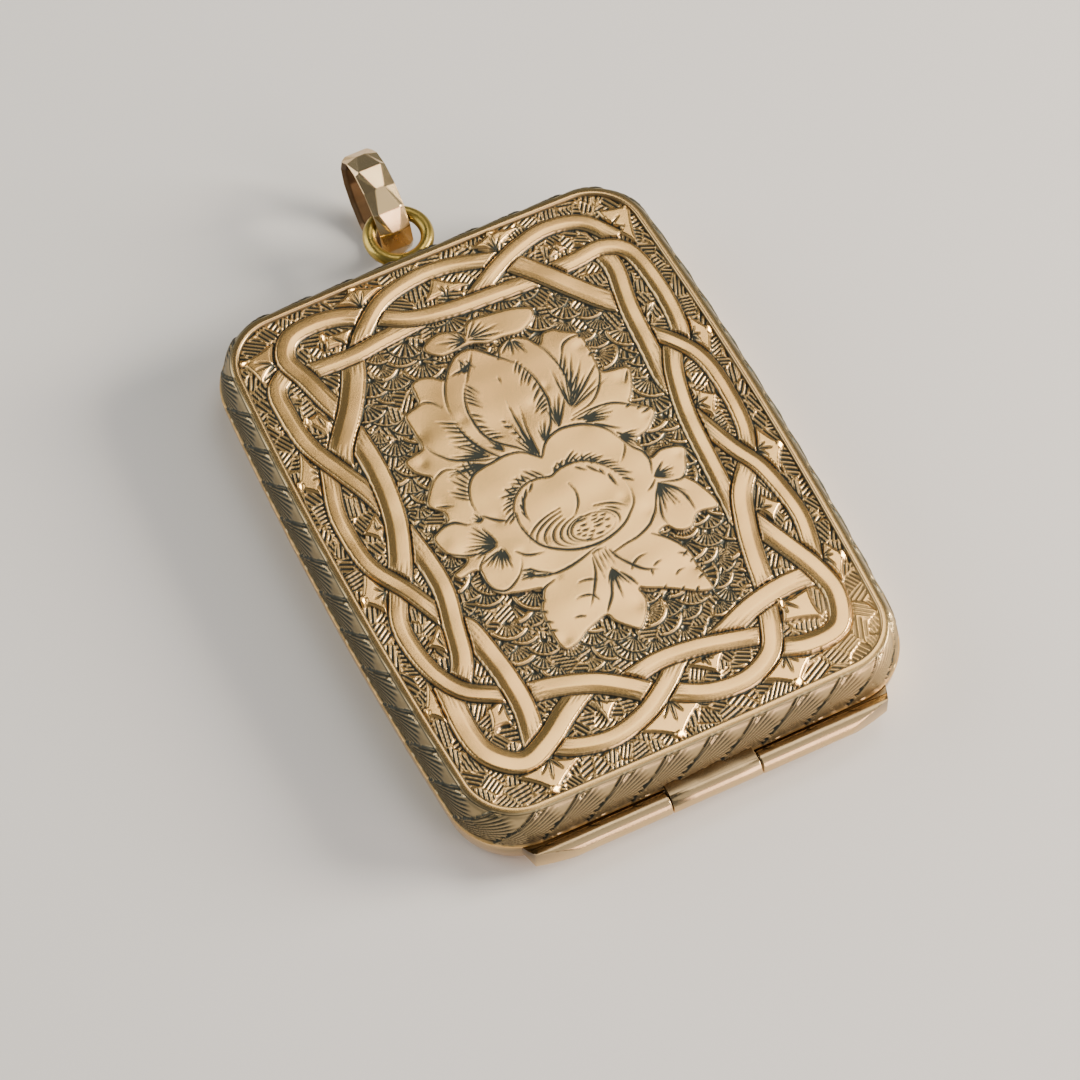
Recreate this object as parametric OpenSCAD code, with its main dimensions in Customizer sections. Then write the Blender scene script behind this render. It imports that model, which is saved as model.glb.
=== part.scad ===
// Rectangular engraved locket, lying face up, closed.
// The origin is on the surface it lies on, under the middle of the body. +Y points to the bail.

/* [Body] */
// Width of the face at its rim
face_w = 25; // [24:0.1:26]
// Length of the face at its rim
face_l = 33.2; // [32:0.1:34]
// How far the long sides bow outwards
bow_side = 0.485; // [0.2:0.005:0.8]
// How far the short ends bow outwards
bow_end = 0.12; // [0.08:0.005:0.4]
// Radius of the face's corners
corner_r = 3.09; // [2.5:0.01:4]
// Height of the front cover, from the seam to the face
front_h = 2.45; // [2:0.05:3]
// Height of the back cover, from its flat back to the seam
back_h = 1.95; // [1.6:0.05:2.5]
// How far the walls swell out from the rim to the seam
swell = 0.72; // [0.4:0.02:1]
// How far the back cover draws in from the seam to its flat back
back_draw = 0.9; // [0.5:0.05:1.5]
// Thickness of the metal
wall = 0.5; // [0.3:0.05:0.7]
// Gap between the two covers
seam_gap = 0.04; // [0.02:0.01:0.1]

/* [Face] */
// Width of the plain strip inside the rim
strip_w = 0.42; // [0.3:0.01:0.6]
// Depth of the cut-away ground below the face
ground_d = 0.18; // [0.1:0.01:0.25]
// Width of the groove cut beside a ribbon or petal
groove_w = 0.12; // [0.08:0.01:0.2]

/* [Snap rim] */
// Height of the inner rim above the seam
lip_h = 0.45; // [0.3:0.05:0.7]
// Thickness of the inner rim
lip_t = 0.28; // [0.2:0.02:0.4]
// Clearance between the inner rim and the front cover
lip_gap = 0.08; // [0.05:0.01:0.15]

/* [Hinge] */
// Length of the hinge
hinge_l = 15.5; // [12:0.1:18]
// Sideways place of the hinge's middle
hinge_x = 0.15; // [-1:0.05:1]
// Outer radius of the knuckles
knuckle_r = 0.62; // [0.5:0.01:0.8]
// Radius of the hinge pin
pin_r = 0.3; // [0.2:0.01:0.4]
// Running clearance between the pin and the knuckles
pin_gap = 0.03; // [0.01:0.01:0.1]
// Distance of the hinge's axis outside the seam
hinge_out = 0.58; // [0.5:0.01:0.8]
// Depth of the hinge's axis below the seam
hinge_drop = 0.25; // [0:0.01:0.4]
// Gap between neighbouring knuckles, and round a knuckle
knuckle_gap = 0.08; // [0.05:0.01:0.15]
// Length of the slope filed on the hinge's seat beyond the outer knuckles
slope_l = 2.4; // [1.5:0.1:3]
// How far that slope draws in
slope_in = 0.65; // [0.4:0.05:0.9]

/* [Bail loop] */
// Radius of the loop, to the middle of its wire
loop_r = 1.58; // [1.4:0.01:1.8]
// Radius of the loop's wire
wire_r = 0.38; // [0.3:0.01:0.45]
// Depth of the loop's middle plane below the face
loop_drop = 1.45; // [1.2:0.05:1.7]
// How far the loop's wire sinks into the wall
loop_sink = 0.27; // [0.15:0.01:0.4]

/* [Bail] */
// Length of the bail's oval
bail_l = 6.1; // [5.5:0.05:6.5]
// Height of the bail's oval
bail_h = 4.4; // [4:0.05:4.8]
// Width of the bail's band
bail_w = 1.9; // [1.6:0.05:2]
// Thickness of the band at its middle
bail_t = 0.45; // [0.35:0.01:0.5]
// Lean of the bail above the level
bail_lean = 30; // [20:1:40]
// Distance from the loop's outermost wire to the bail's middle
bail_out = 1.15; // [1:0.05:1.3]
// Depth of the bail's middle below the loop's plane
bail_drop = 0.46; // [0.3:0.02:0.6]
// Number of facets round the bail
bail_facets = 14; // [10:2:20]

/* [Hidden] */

half_w = face_w / 2;
half_l = face_l / 2;
seam_z = back_h;
top_z = back_h + front_h;
ground_z = top_z - ground_d;
rose_gold = "#c79a78";

// Outline of the body: four shallow arcs joined by round corners
side_y = 0.9 * half_l;
end_x = 0.9 * half_w;
side_r = (side_y * side_y + bow_side * bow_side) / (2 * bow_side);
end_r = (end_x * end_x + bow_end * bow_end) / (2 * bow_end);
side_c = [half_w - side_r, 0];
end_c = [0, half_l - end_r];
link = end_c - side_c;
link_l = norm(link);
link_u = link / link_l;
side_d = side_r - corner_r;
end_d = end_r - corner_r;
link_t = (side_d * side_d - end_d * end_d + link_l * link_l) / (2 * link_l);
corner_c = side_c + link_u * link_t + turned(link_u) * sqrt(side_d * side_d - link_t * link_t);
side_a = atan2(corner_c[1] - side_c[1], corner_c[0] - side_c[0]);
end_a = atan2(corner_c[1] - end_c[1], corner_c[0] - end_c[0]);
flat_steps = 3;
corner_steps = 6;

function arc(c, r, from, to, steps) =
    [for (i = [0:steps - 1]) let (a = from + (to - from) * i / steps) c + r * [cos(a), sin(a)]];
function quarter(inset) = concat(
    arc(side_c, side_r - inset, 0, side_a, flat_steps),
    arc(corner_c, corner_r - inset, side_a, end_a, corner_steps),
    arc(end_c, end_r - inset, end_a, 90, flat_steps));
function reversed(list) = [for (i = [len(list) - 1:-1:0]) list[i]];
function outline(inset) = let (
    q = quarter(inset),
    top = [0, half_l - inset],
    right = [half_w - inset, 0],
    inner = [for (i = [1:len(q) - 1]) q[i]])
    concat([right], inner, [top],
        [for (p = reversed(inner)) [-p[0], p[1]]], [-right],
        [for (p = inner) -p], [-top],
        [for (p = reversed(inner)) [p[0], -p[1]]]);

// A closed solid through a stack of outlines; each row holds a height and an inset
module stack(rows) {
    rings = [for (row = rows) [for (p = outline(row[1])) [p[0], p[1], row[0]]]];
    n = len(rings[0]);
    m = len(rings);
    sides = [for (k = [0:m - 2]) for (i = [0:n - 1])
        let (j = (i + 1) % n) [k * n + i, k * n + j, (k + 1) * n + j, (k + 1) * n + i]];
    triangles = [for (q = sides) each [[q[0], q[1], q[2]], [q[0], q[2], q[3]]]];
    polyhedron([for (ring = rings) each ring],
        concat(triangles, [reversed([for (i = [0:n - 1]) i])], [[for (i = [0:n - 1]) (m - 1) * n + i]]));
}

// Inset of the front cover's wall at a height; negative is outside the rim
function front_inset(z) = -swell * sqrt(1 - pow(1 - (top_z - z) / front_h, 2));
// Inset of the back cover's wall at an angle of its quarter ellipse
function back_inset(a) = back_draw * (1 - cos(a)) - swell;
wall_steps = 5;
corner_a = 90 / wall_steps;

// A smooth curve through points
curve_steps = 3;
function blend(p0, p1, p2, p3, t) = 0.5 * (2 * p1 + (p2 - p0) * t
    + (2 * p0 - 5 * p1 + 4 * p2 - p3) * t * t + (3 * p1 - p0 - 3 * p2 + p3) * t * t * t);
function open_curve(p) = let (n = len(p)) concat(
    [for (i = [0:n - 2]) for (s = [0:curve_steps - 1])
        blend(p[max(i - 1, 0)], p[i], p[i + 1], p[min(i + 2, n - 1)], s / curve_steps)],
    [p[n - 1]]);
function closed_curve(p) = let (n = len(p))
    [for (i = [0:n - 1]) for (s = [0:curve_steps - 1])
        blend(p[(i + n - 1) % n], p[i], p[(i + 1) % n], p[(i + 2) % n], s / curve_steps)];
function unit(v) = v / norm(v);
function turned(v) = [-v[1], v[0]];
function normals(p) = let (n = len(p))
    [for (i = [0:n - 1]) turned(unit(p[min(i + 1, n - 1)] - p[max(i - 1, 0)]))];

// A ribbon of even width along a smooth curve
function ribbon(p, w) = let (c = open_curve(p), m = normals(c), n = len(c)) concat(
    [for (i = [0:n - 1]) c[i] + m[i] * w / 2],
    [for (i = [n - 1:-1:0]) c[i] - m[i] * w / 2]);

// A petal's smooth outline, grown outwards by g
function area2(p) = let (n = len(p)) sum([for (i = [0:n - 1])
    let (q = p[(i + 1) % n]) p[i][0] * q[1] - q[0] * p[i][1]]);
function sum(v, i = 0) = i == len(v) ? 0 : v[i] + sum(v, i + 1);
function petal(p, g = 0) = let (c = closed_curve(p), n = len(c), side = area2(c) > 0 ? -1 : 1)
    [for (i = [0:n - 1]) c[i] + turned(unit(c[(i + 1) % n] - c[(i + n - 1) % n])) * g * side];

// Interlaced border. Columns: name, width, the ribbons over its two ends, middle line
ribbon_rows = [
    ["top_left_loop", 1.1, ["top_arc", "left_dive"], [[-4, 14.1], [-5.4, 14.8], [-7, 15.05],
        [-8.4, 14.75], [-9.15, 13.6], [-8.7, 12], [-8.25, 10.2], [-7.8, 8.8]]],
    ["top_left_bar", 1, ["top_left_loop", "top_bar"], [[-8.8, 12.4], [-6, 12.27], [-4, 12.5],
        [-1.6, 12.75]]],
    ["left_shoulder", 1.05, ["top_left_loop", "left_cross"], [[-9.1, 13.05], [-10.35, 12.1],
        [-10.55, 10.5], [-10.35, 8.2], [-9.5, 6], [-8.8, 4.3], [-8.3, 2.6]]],
    ["top_arc", 0.95, ["top_right_loop", "top_left_bar"], [[4.2, 14.2], [3, 14.7], [1, 15.25],
        [-1, 15.28], [-3, 14.75], [-4.6, 13.5], [-5.55, 12.4]]],
    ["left_dive", 1.3, ["top_left_bar", "left_shoulder"], [[-5.9, 12.3], [-6.45, 10.9],
        [-7.5, 9.15], [-8.9, 7.3], [-9.45, 6]]],
    ["left_bow", 0.95, ["left_shoulder", "left_run"], [[-9.9, 6.8], [-10.75, 4], [-10.85, 2],
        [-10.6, 0], [-9.55, -2], [-8.7, -4], [-8.4, -4.6]]],
    ["left_cross", 1.25, ["left_dive", "left_bow"], [[-7.95, 8.4], [-7.8, 6], [-7.9, 4],
        [-8.25, 2], [-8.95, 0], [-9.7, -1.5]]],
    ["left_run", 1.15, ["left_cross", "left_hook"], [[-8.2, 1.6], [-7.85, -1], [-7.85, -3],
        [-8.3, -5], [-8.8, -7], [-9.7, -8.5]]],
    ["left_hook", 1, ["left_bow", "left_drop"], [[-9.8, -1.6], [-10.65, -3.4], [-10.8, -5],
        [-10.45, -7], [-9.6, -8.6], [-8.3, -9.5], [-7.2, -10.05]]],
    ["left_drop", 1.25, ["left_run", "bottom_left_loop"], [[-8.2, -5], [-7.7, -5.6],
        [-7.4, -7.3], [-7.2, -9], [-7.2, -11], [-7.7, -13.5]]],
    ["bottom_left_loop", 1.25, ["left_hook", "bottom_rise"], [[-10.25, -7.9], [-10.4, -11],
        [-9.95, -12.7], [-8.6, -13.75], [-7, -13.2], [-5.4, -12.1], [-3.7, -11.1]]],
    ["bottom_rise", 1.2, ["bottom_wave", "left_drop"], [[-0.7, -13.3], [-2, -12.15],
        [-3.5, -11.15], [-5.5, -10.45], [-7.2, -10.2]]],
    ["bottom_bar", 1.05, ["bottom_rise", "bottom_arc"], [[-2.1, -11.95], [0, -11.52],
        [2, -11.65], [4, -12.1], [6.1, -12.7]]],
    ["bottom_wave", 1.05, ["bottom_bar", "bottom_left_loop"], [[1.3, -11.7], [-0.2, -13],
        [-1.9, -14], [-4, -14.5], [-6, -14.05], [-7.3, -13.2]]],
    ["bottom_arc", 1.1, ["right_foot", "bottom_wave"], [[6.8, -10.7], [6.3, -12.3],
        [5.5, -13.7], [3.8, -14.5], [1.8, -14.35], [0.2, -13.6], [-0.5, -13.1]]],
    ["right_foot", 1.2, ["bottom_right_loop", "bottom_bar"], [[10, -10.5], [8, -10.45],
        [6, -10.8], [3.5, -11.75]]],
    ["bottom_right_loop", 1.15, ["right_drop", "bottom_arc"], [[8.2, -5.8], [9.25, -8.3],
        [10, -10.3], [10.2, -12.1], [9.4, -13.8], [7.6, -14.05], [5.8, -13.5]]],
    ["right_drop", 1.15, ["right_bow", "right_foot"], [[10, -2.9], [8.7, -4.5], [8, -6.3],
        [7.5, -8.2], [7.1, -10.4]]],
    ["right_bow", 0.95, ["right_run", "bottom_right_loop"], [[8.5, 1.3], [9.55, -1.7],
        [10.4, -3.7], [10.8, -6.7], [10.5, -8.7], [10.1, -9.9]]],
    ["right_run", 1.05, ["right_hook", "right_drop"], [[9.8, 5.6], [8.95, 3.7], [8.35, 1],
        [8.1, -2], [7.85, -5.7]]],
    ["right_hook", 0.9, ["right_cross", "right_bow"], [[8.5, 7], [9.8, 5.65], [10.65, 4.2],
        [10.95, 2.2], [10.75, -0.8], [10, -2.8]]],
    ["right_cross", 1.1, ["right_shoulder", "right_run"], [[8.9, 12.6], [9.15, 11.1], [8.7, 8.5],
        [8.47, 5.5], [8.35, 3.8], [8.6, 2.5]]],
    ["right_shoulder", 1, ["right_dive", "right_hook"], [[5.6, 12.4], [7.5, 12.5],
        [9.2, 12.6], [10.4, 11.6], [10.75, 8.8], [10.55, 6.2], [10, 5.2]]],
    ["right_dive", 1.25, ["top_right_loop", "right_cross"], [[4.1, 14.2], [5.4, 12.6],
        [6.6, 11], [7.8, 9.5], [8.7, 8.85]]],
    ["top_right_loop", 0.95, ["top_bar", "right_shoulder"], [[1.4, 12.65], [3.5, 13.95],
        [5.2, 14.7], [7, 15.05], [8.9, 14.55], [10.2, 12.8]]],
    ["top_bar", 1, ["top_arc", "right_dive"], [[-4.1, 14.2], [-2.2, 13.1], [0, 12.65],
        [2, 12.5], [4, 12.4], [5.5, 12.3]]],
];
function named(rows, name) = [for (row = rows) if (row[0] == name) row][0];

// Thorns outside the border. Columns: tip, foot, notch, foot
thorn_rows = [
    [[-4.1, 16.05], [-5.3, 15.55], [-4.15, 14.9], [-2.6, 15.6]],
    [[4.2, 16.05], [2.9, 15.65], [3.95, 15], [5.5, 15.75]],
    [[-11.3, 14.3], [-10.9, 12.9], [-9.9, 13.6], [-9.6, 14.7]],
    [[11.7, 14.3], [10.1, 14.6], [10, 13.5], [10.9, 12.2]],
    [[-11.9, 6], [-10.95, 5.1], [-10.5, 6.15], [-10.95, 7.9]],
    [[-11.9, -1.7], [-11.1, -2.7], [-10.6, -1.7], [-11.1, -0.1]],
    [[-11.8, -9.1], [-11, -10], [-10.6, -9], [-11.1, -7.6]],
    [[-7.9, -16.05], [-6.1, -14.9], [-7.4, -14.2], [-9.2, -14.6]],
    [[-0.8, -16], [0.9, -14.7], [-0.4, -13.9], [-2.5, -15]],
    [[6, -15.9], [7.1, -14.9], [6.1, -14.15], [4.4, -15]],
    [[11.9, 5.3], [11.3, 6.5], [10.85, 5.4], [11.25, 3.6]],
    [[11.9, -2.8], [11.3, -1.5], [10.6, -2.5], [11.1, -4.2]],
    [[11.6, -10.2], [11.2, -9.3], [10.6, -9.8], [11, -11.3]],
];

// Rose. Columns: name, the petals and leaves that lie over it, outline
petal_rows = [
    ["bud", [], [[-2.5, -0.3], [-2.4, -2.2], [-1.1, -3.6], [1, -3.95], [2.9, -3.1],
        [3.6, -1.7], [3.2, 0], [1.7, 0.95], [-0.5, 0.9], [-2.1, 0.2]]],
    ["cup", ["bud"], [[-4, -2.3], [-3.4, -3.6], [-2.2, -4.55], [0, -4.3], [2, -4.5],
        [3.6, -3.9], [4.9, -1.8], [4, -2.3], [2.4, -2.4], [-1.5, -2.4]]],
    ["heart", ["bud"], [[0.2, 2], [-1.6, 3], [-3.6, 2.6], [-4.35, 1.2], [-3.9, -0.1],
        [-2.2, -0.9], [0.5, -0.4], [3.2, -0.4], [4.1, 0.2], [4.55, 1.3], [3.5, 2.8],
        [1.7, 3.2]]],
    ["side_petal", ["bud", "heart", "cup"], [[4.4, 1], [5.2, 0], [5, -1.3], [4.2, -2.2],
        [3, -1.6], [3.2, 0]]],
    ["crown", ["heart"], [[0.2, 2.1], [-1.6, 4], [-2, 6], [-1.4, 8], [-0.1, 9.6],
        [1.2, 8.3], [2.15, 6], [1.8, 4.1]]],
    ["crown_left", ["crown", "heart"], [[-1.4, 2.9], [-2.85, 5.5], [-2.7, 7.6],
        [-1.7, 9.3], [-0.3, 9.5], [-0.6, 7.5], [-1, 5]]],
    ["crown_right", ["crown", "heart"], [[1.3, 3], [3.3, 5.3], [3.55, 7.3], [2.9, 8.9],
        [1.6, 9.3], [0.8, 8.2], [1.2, 5]]],
    ["left_wing", ["crown_left", "heart"], [[-1.9, 2.9], [-4.2, 4.1], [-5, 5.8],
        [-5, 7.6], [-4.2, 7.9], [-3.2, 7.3], [-2.3, 5.4]]],
    ["right_wing", ["crown_right", "heart"], [[1.8, 3], [4, 4], [5.1, 5], [5.6, 6.8],
        [5, 8.05], [4, 7.4], [3, 5.6]]],
    ["left_petal", ["heart", "left_wing"], [[-4.2, 3.5], [-5.7, 3.2], [-6.4, 2],
        [-5.2, 1.4], [-4, 1.3], [-3.8, 2.6]]],
    ["right_petal", ["heart", "right_wing", "side_petal"], [[3.2, 3.3], [5.2, 3.5],
        [6.9, 2.1], [6.4, 1.5], [5.4, 0.95], [4.2, 1.6]]],
    ["left_lobe", ["left_wing", "left_petal"], [[-6.3, 5], [-5.9, 3.9], [-5, 3.7],
        [-4.2, 4.4], [-5, 5.2]]],
    ["right_lobe", ["right_wing", "right_petal"], [[5, 5.2], [6.9, 5], [6.6, 4],
        [6, 3.7], [4.6, 4]]],
    ["left_leaf", ["heart", "cup"], [[-6.9, 0.2], [-5.5, 0.5], [-4.1, -0.1], [-3.8, -1.6],
        [-5.6, -1.8], [-7, -0.4]]],
    ["left_bud", ["cup", "left_leaf"], [[-5.4, -1.9], [-5.75, -3.4], [-5.2, -4.45],
        [-4.1, -4], [-3.2, -3], [-4, -1.9]]],
    ["right_leaf", ["side_petal", "cup"], [[4.8, -1.4], [6.2, -0.25], [7.2, -0.9],
        [6.4, -2.2], [5, -2.1]]],
    ["right_bud", ["cup", "right_leaf", "side_petal"], [[4.8, -1.8], [4.2, -3.9],
        [4.6, -5], [5.6, -5], [6, -3.6], [5.4, -2.2]]],
    ["far_leaf", ["right_bud", "right_leaf"], [[5.5, -2.3], [6.8, -2.9], [7.1, -4.4],
        [6.6, -4.75], [5.7, -4.4], [5.5, -3.3]]],
    ["left_foot_leaf", ["cup"], [[-0.1, -4.3], [-2.3, -4.6], [-3.6, -5.6], [-4.05, -7.2],
        [-3.75, -8.7], [-2.2, -8.4], [-0.3, -7], [0.1, -5.8]]],
    ["right_foot_leaf", ["cup", "left_foot_leaf"], [[0.9, -4.3], [3, -4.5], [4.5, -6],
        [4.5, -7.9], [4.5, -8.8], [3.2, -8.4], [1, -6.8], [0.6, -5.8]]],
    ["foot_leaf", ["left_foot_leaf", "right_foot_leaf"], [[0.4, -6], [-0.8, -7.7],
        [-0.7, -8.6], [0.2, -9.5], [1, -8.6], [1.1, -7.2]]],
    ["top_leaf", [], [[0, 10.6], [0.9, 11.5], [2.6, 11.1], [4, 10.6], [3.2, 9.8],
        [1.6, 9.8], [0.2, 10]]],
    ["top_petal", ["top_leaf"], [[-2.4, 10.9], [-1, 11.4], [0.2, 10.7], [-0.7, 10.1],
        [-2, 10.3]]],
];

// Hinge
axis_y = -(half_l + swell + hinge_out);
axis_z = seam_z - hinge_drop;
knuckle_l = hinge_l / 3;
web_in = 0.9;
seat_in = 1.1;
seat_l = slope_l + 0.4;
inner_knuckle_l = knuckle_l - knuckle_gap;
outer_knuckle_l = inner_knuckle_l + seat_l;
outer_knuckle_x = knuckle_l + seat_l / 2;
module across(x, l, r) {
    translate([x - l / 2, axis_y, axis_z]) rotate([0, 90, 0]) cylinder(h = l, r = r, $fn = 48);
}
module knuckle(x, l, low, high, deep) {
    across(x, l, knuckle_r);
    translate([x - l / 2, axis_y, low]) cube([l, deep, high - low]);
}
module knuckle_room(x, l) {
    across(x, l + 2 * knuckle_gap, knuckle_r + knuckle_gap);
}
module pin_bore() {
    across(hinge_x, hinge_l + 2 * knuckle_gap, pin_r + pin_gap);
}

// An outer knuckle runs on as a seat that is filed to a slope and stops at the corner
module outer_knuckle(side) {
    slope = [[0, -knuckle_r], [slope_l, slope_in - knuckle_r], [seat_l, seat_in],
        [2 * seat_l, seat_in], [2 * seat_l, -2 * knuckle_r], [0, -2 * knuckle_r]];
    difference() {
        knuckle(hinge_x + side * outer_knuckle_x, outer_knuckle_l,
            axis_z - knuckle_r / 2, seam_z, seat_in);
        translate([hinge_x + side * hinge_l / 2, axis_y, 0]) linear_extrude(top_z)
            polygon([for (p = slope) [side * p[0], p[1]]]);
    }
}

// Loop
loop_z = top_z - loop_drop;
loop_y = half_l - front_inset(loop_z) + loop_r + wire_r - loop_sink;
module loop() {
    translate([0, loop_y, loop_z]) rotate_extrude($fn = 64)
        translate([loop_r, 0]) circle(wire_r, $fn = 24);
}

// Raised ornament: each ribbon or petal stops at a groove beside what lies over it
relief_root = 0.06;
edge_trim = 0.02;
module relief() {
    translate([0, 0, ground_z - relief_root]) linear_extrude(ground_d + relief_root)
        offset(delta = -edge_trim) {
            for (row = ribbon_rows) difference() {
                polygon(ribbon(row[3], row[1]));
                for (over = row[2]) let (top = named(ribbon_rows, over))
                    polygon(ribbon(top[3], top[1] + 2 * groove_w));
            }
            for (row = petal_rows) difference() {
                polygon(petal(row[2]));
                for (over = row[1]) polygon(petal(named(petal_rows, over)[2], groove_w));
            }
            difference() {
                for (row = thorn_rows) polygon(row);
                for (row = ribbon_rows) polygon(ribbon(row[3], row[1] + 2 * groove_w));
            }
        }
}

module front_cover() color(rose_gold) {
    low = seam_z + seam_gap;
    roof = ground_z - wall;
    shoulder = (low + roof) / 2;
    difference() {
        union() {
            difference() {
                stack(concat(
                    [[ground_z, strip_w + ground_d / 2], [top_z, strip_w]],
                    [for (i = [0:wall_steps]) let (z = top_z - (top_z - low) * (1 - cos(corner_a * i)))
                        [z, front_inset(z)]],
                    [for (z = [low, shoulder, roof]) [z, front_inset(z) + wall]]));
                for (side = [-1, 1]) knuckle_room(hinge_x + side * outer_knuckle_x, outer_knuckle_l);
            }
            relief();
            knuckle(hinge_x, inner_knuckle_l, low, axis_z + knuckle_r, web_in);
            loop();
        }
        pin_bore();
    }
}

module back_cover() color(rose_gold) {
    lip_out = wall - swell + lip_gap;
    difference() {
        union() {
            difference() {
                stack(concat(
                    [[wall, lip_out + lip_t], [seam_z + lip_h, lip_out + lip_t],
                        [seam_z + lip_h, lip_out + lip_gap / 2], [seam_z, lip_out]],
                    [for (i = [0:wall_steps]) [seam_z * (1 - sin(corner_a * i)), back_inset(corner_a * i)]]));
                knuckle_room(hinge_x, inner_knuckle_l);
            }
            for (side = [-1, 1]) outer_knuckle(side);
        }
        pin_bore();
    }
}

module hinge_pin() color(rose_gold) {
    across(hinge_x, hinge_l, pin_r);
}

// A faceted oval band; its cross-section alternates so that the facets are lozenges
edge_d = 0.2;
inner_x = 0.37;
wide_x = 0.36;
narrow_x = 0.12;
function band_point(i, x, depth) = let (a = 360 * i / bail_facets)
    [x * bail_w, (bail_l / 2 - depth) * cos(a), (bail_h / 2 - depth) * sin(a)];
function band_section(i) = let (crest = i % 2 == 0 ? wide_x : narrow_x) [
    band_point(i, -inner_x, bail_t), band_point(i, -0.5, edge_d), band_point(i, -crest, 0),
    band_point(i, crest, 0), band_point(i, 0.5, edge_d), band_point(i, inner_x, bail_t)];
module bail() color(rose_gold) {
    m = len(band_section(0));
    points = [for (i = [0:bail_facets - 1]) each band_section(i)];
    quads = [for (i = [0:bail_facets - 1]) for (k = [0:m - 1])
        let (j = (i + 1) % bail_facets, l = (k + 1) % m) [i * m + k, i * m + l, j * m + l, j * m + k]];
    translate([0, loop_y + loop_r + bail_out, loop_z - bail_drop]) rotate([bail_lean, 0, 0])
        polyhedron(points, [for (q = quads) each [[q[0], q[1], q[2]], [q[0], q[2], q[3]]]]);
}

front_cover();
back_cover();
hinge_pin();
bail();
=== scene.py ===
import math

import bmesh
import bpy
import numpy as np
from mathutils import Matrix, Vector


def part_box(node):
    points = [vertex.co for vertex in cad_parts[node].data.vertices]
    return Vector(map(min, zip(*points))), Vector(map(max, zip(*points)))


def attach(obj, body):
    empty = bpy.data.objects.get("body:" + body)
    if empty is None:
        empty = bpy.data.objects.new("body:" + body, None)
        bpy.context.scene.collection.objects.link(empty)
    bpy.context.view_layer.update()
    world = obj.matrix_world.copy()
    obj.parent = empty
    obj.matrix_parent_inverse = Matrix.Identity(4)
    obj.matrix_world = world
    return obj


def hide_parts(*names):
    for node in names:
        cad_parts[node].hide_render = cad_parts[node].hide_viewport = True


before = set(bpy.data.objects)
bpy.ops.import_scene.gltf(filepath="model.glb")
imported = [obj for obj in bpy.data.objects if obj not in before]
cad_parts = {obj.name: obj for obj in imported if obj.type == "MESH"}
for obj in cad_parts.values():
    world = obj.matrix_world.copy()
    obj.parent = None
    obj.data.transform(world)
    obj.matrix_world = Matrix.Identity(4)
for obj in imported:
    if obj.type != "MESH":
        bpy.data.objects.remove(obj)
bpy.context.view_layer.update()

# Front cover, the sheet of its face
# One sheet of 9 carat rose gold, flat on top, with bowed sides and round corners. A plain strip runs
# round its edge, and all inside the strip is engraved by hand. Sizes are in millimetres.
MM = 0.001
face_w, face_l = 25.0, 33.2
bow_side, bow_end, bow_reach, corner_r = 0.485, 0.12, 0.9, 3.09
face_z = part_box("front_cover")[1].z / MM
strip_w = 0.34
grid_step, grid_edge = 0.05, 0.1

# Each quarter of the rim is three arcs: half a side, a round corner that meets both, half an end.
half_w, half_l = face_w / 2, face_l / 2
side_r = ((bow_reach * half_l) ** 2 + bow_side**2) / (2 * bow_side)
end_r = ((bow_reach * half_w) ** 2 + bow_end**2) / (2 * bow_end)
side_c = np.array([half_w - side_r, 0.0])
end_c = np.array([0.0, half_l - end_r])
link_l = math.dist(end_c, side_c)
link_u = (end_c - side_c) / link_l
link_t = ((side_r - corner_r) ** 2 - (end_r - corner_r) ** 2 + link_l**2) / (2 * link_l)
link_h = math.sqrt((side_r - corner_r) ** 2 - link_t**2)
corner_c = side_c + link_u * link_t + np.array([-link_u[1], link_u[0]]) * link_h
side_a = math.atan2(corner_c[1] - side_c[1], corner_c[0] - side_c[0])
end_a = math.atan2(corner_c[1] - end_c[1], corner_c[0] - end_c[0])

grid_x = np.arange(grid_edge - half_w, half_w - grid_edge + grid_step / 2, grid_step)
grid_y = np.arange(grid_edge - half_l, half_l - grid_edge + grid_step / 2, grid_step)
X, Y = np.meshgrid(grid_x, grid_y)

# How far inside the rim each point of the grid lies.
to_side = side_r - np.hypot(np.abs(X) - side_c[0], np.abs(Y) - side_c[1])
to_end = end_r - np.hypot(np.abs(X) - end_c[0], np.abs(Y) - end_c[1])
to_corner = corner_r - np.hypot(np.abs(X) - corner_c[0], np.abs(Y) - corner_c[1])
turn = np.arctan2(np.abs(Y) - corner_c[1], np.abs(X) - corner_c[0])
inset = np.where((turn > side_a) & (turn < end_a), to_corner, np.minimum(to_side, to_end))

# Front cover, hatched ground
# Round the ribbons the engraver lowered the gold with a flat graver, in patches of about four
# parallel cuts, one against the next. Tarnish stays in the cuts and their walls catch the light.
ground_d = 0.18
patch_count, patch_reach, patch_gap, patch_nudge = 900, 1.5, 0.75, 0.3
patch_aims, patch_swing, patch_pitches = [20, 65, 110, 155], 14, (0.2, 0.28)
patch_uneven, patch_edge, patch_bare, patch_crisp = 0.05, 0.12, 0.4, 3.2
out_of_reach = 99.0
dice = np.random.default_rng(7)


def window(points, margin):
    """The part of the grid round some points."""
    low, high = np.min(points, 0) - margin, np.max(points, 0) + margin
    i0, i1 = np.searchsorted(grid_y, [low[1], high[1]])
    j0, j1 = np.searchsorted(grid_x, [low[0], high[0]])
    return slice(i0, i1), slice(j0, j1)


def stripes(phase, bare, crisp):
    """Cuts side by side, one for each whole step of the phase, from 0 between them to 1."""
    return np.clip((0.5 + 0.5 * np.cos(2 * math.pi * phase) - bare) * crisp, 0, 1)


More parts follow.
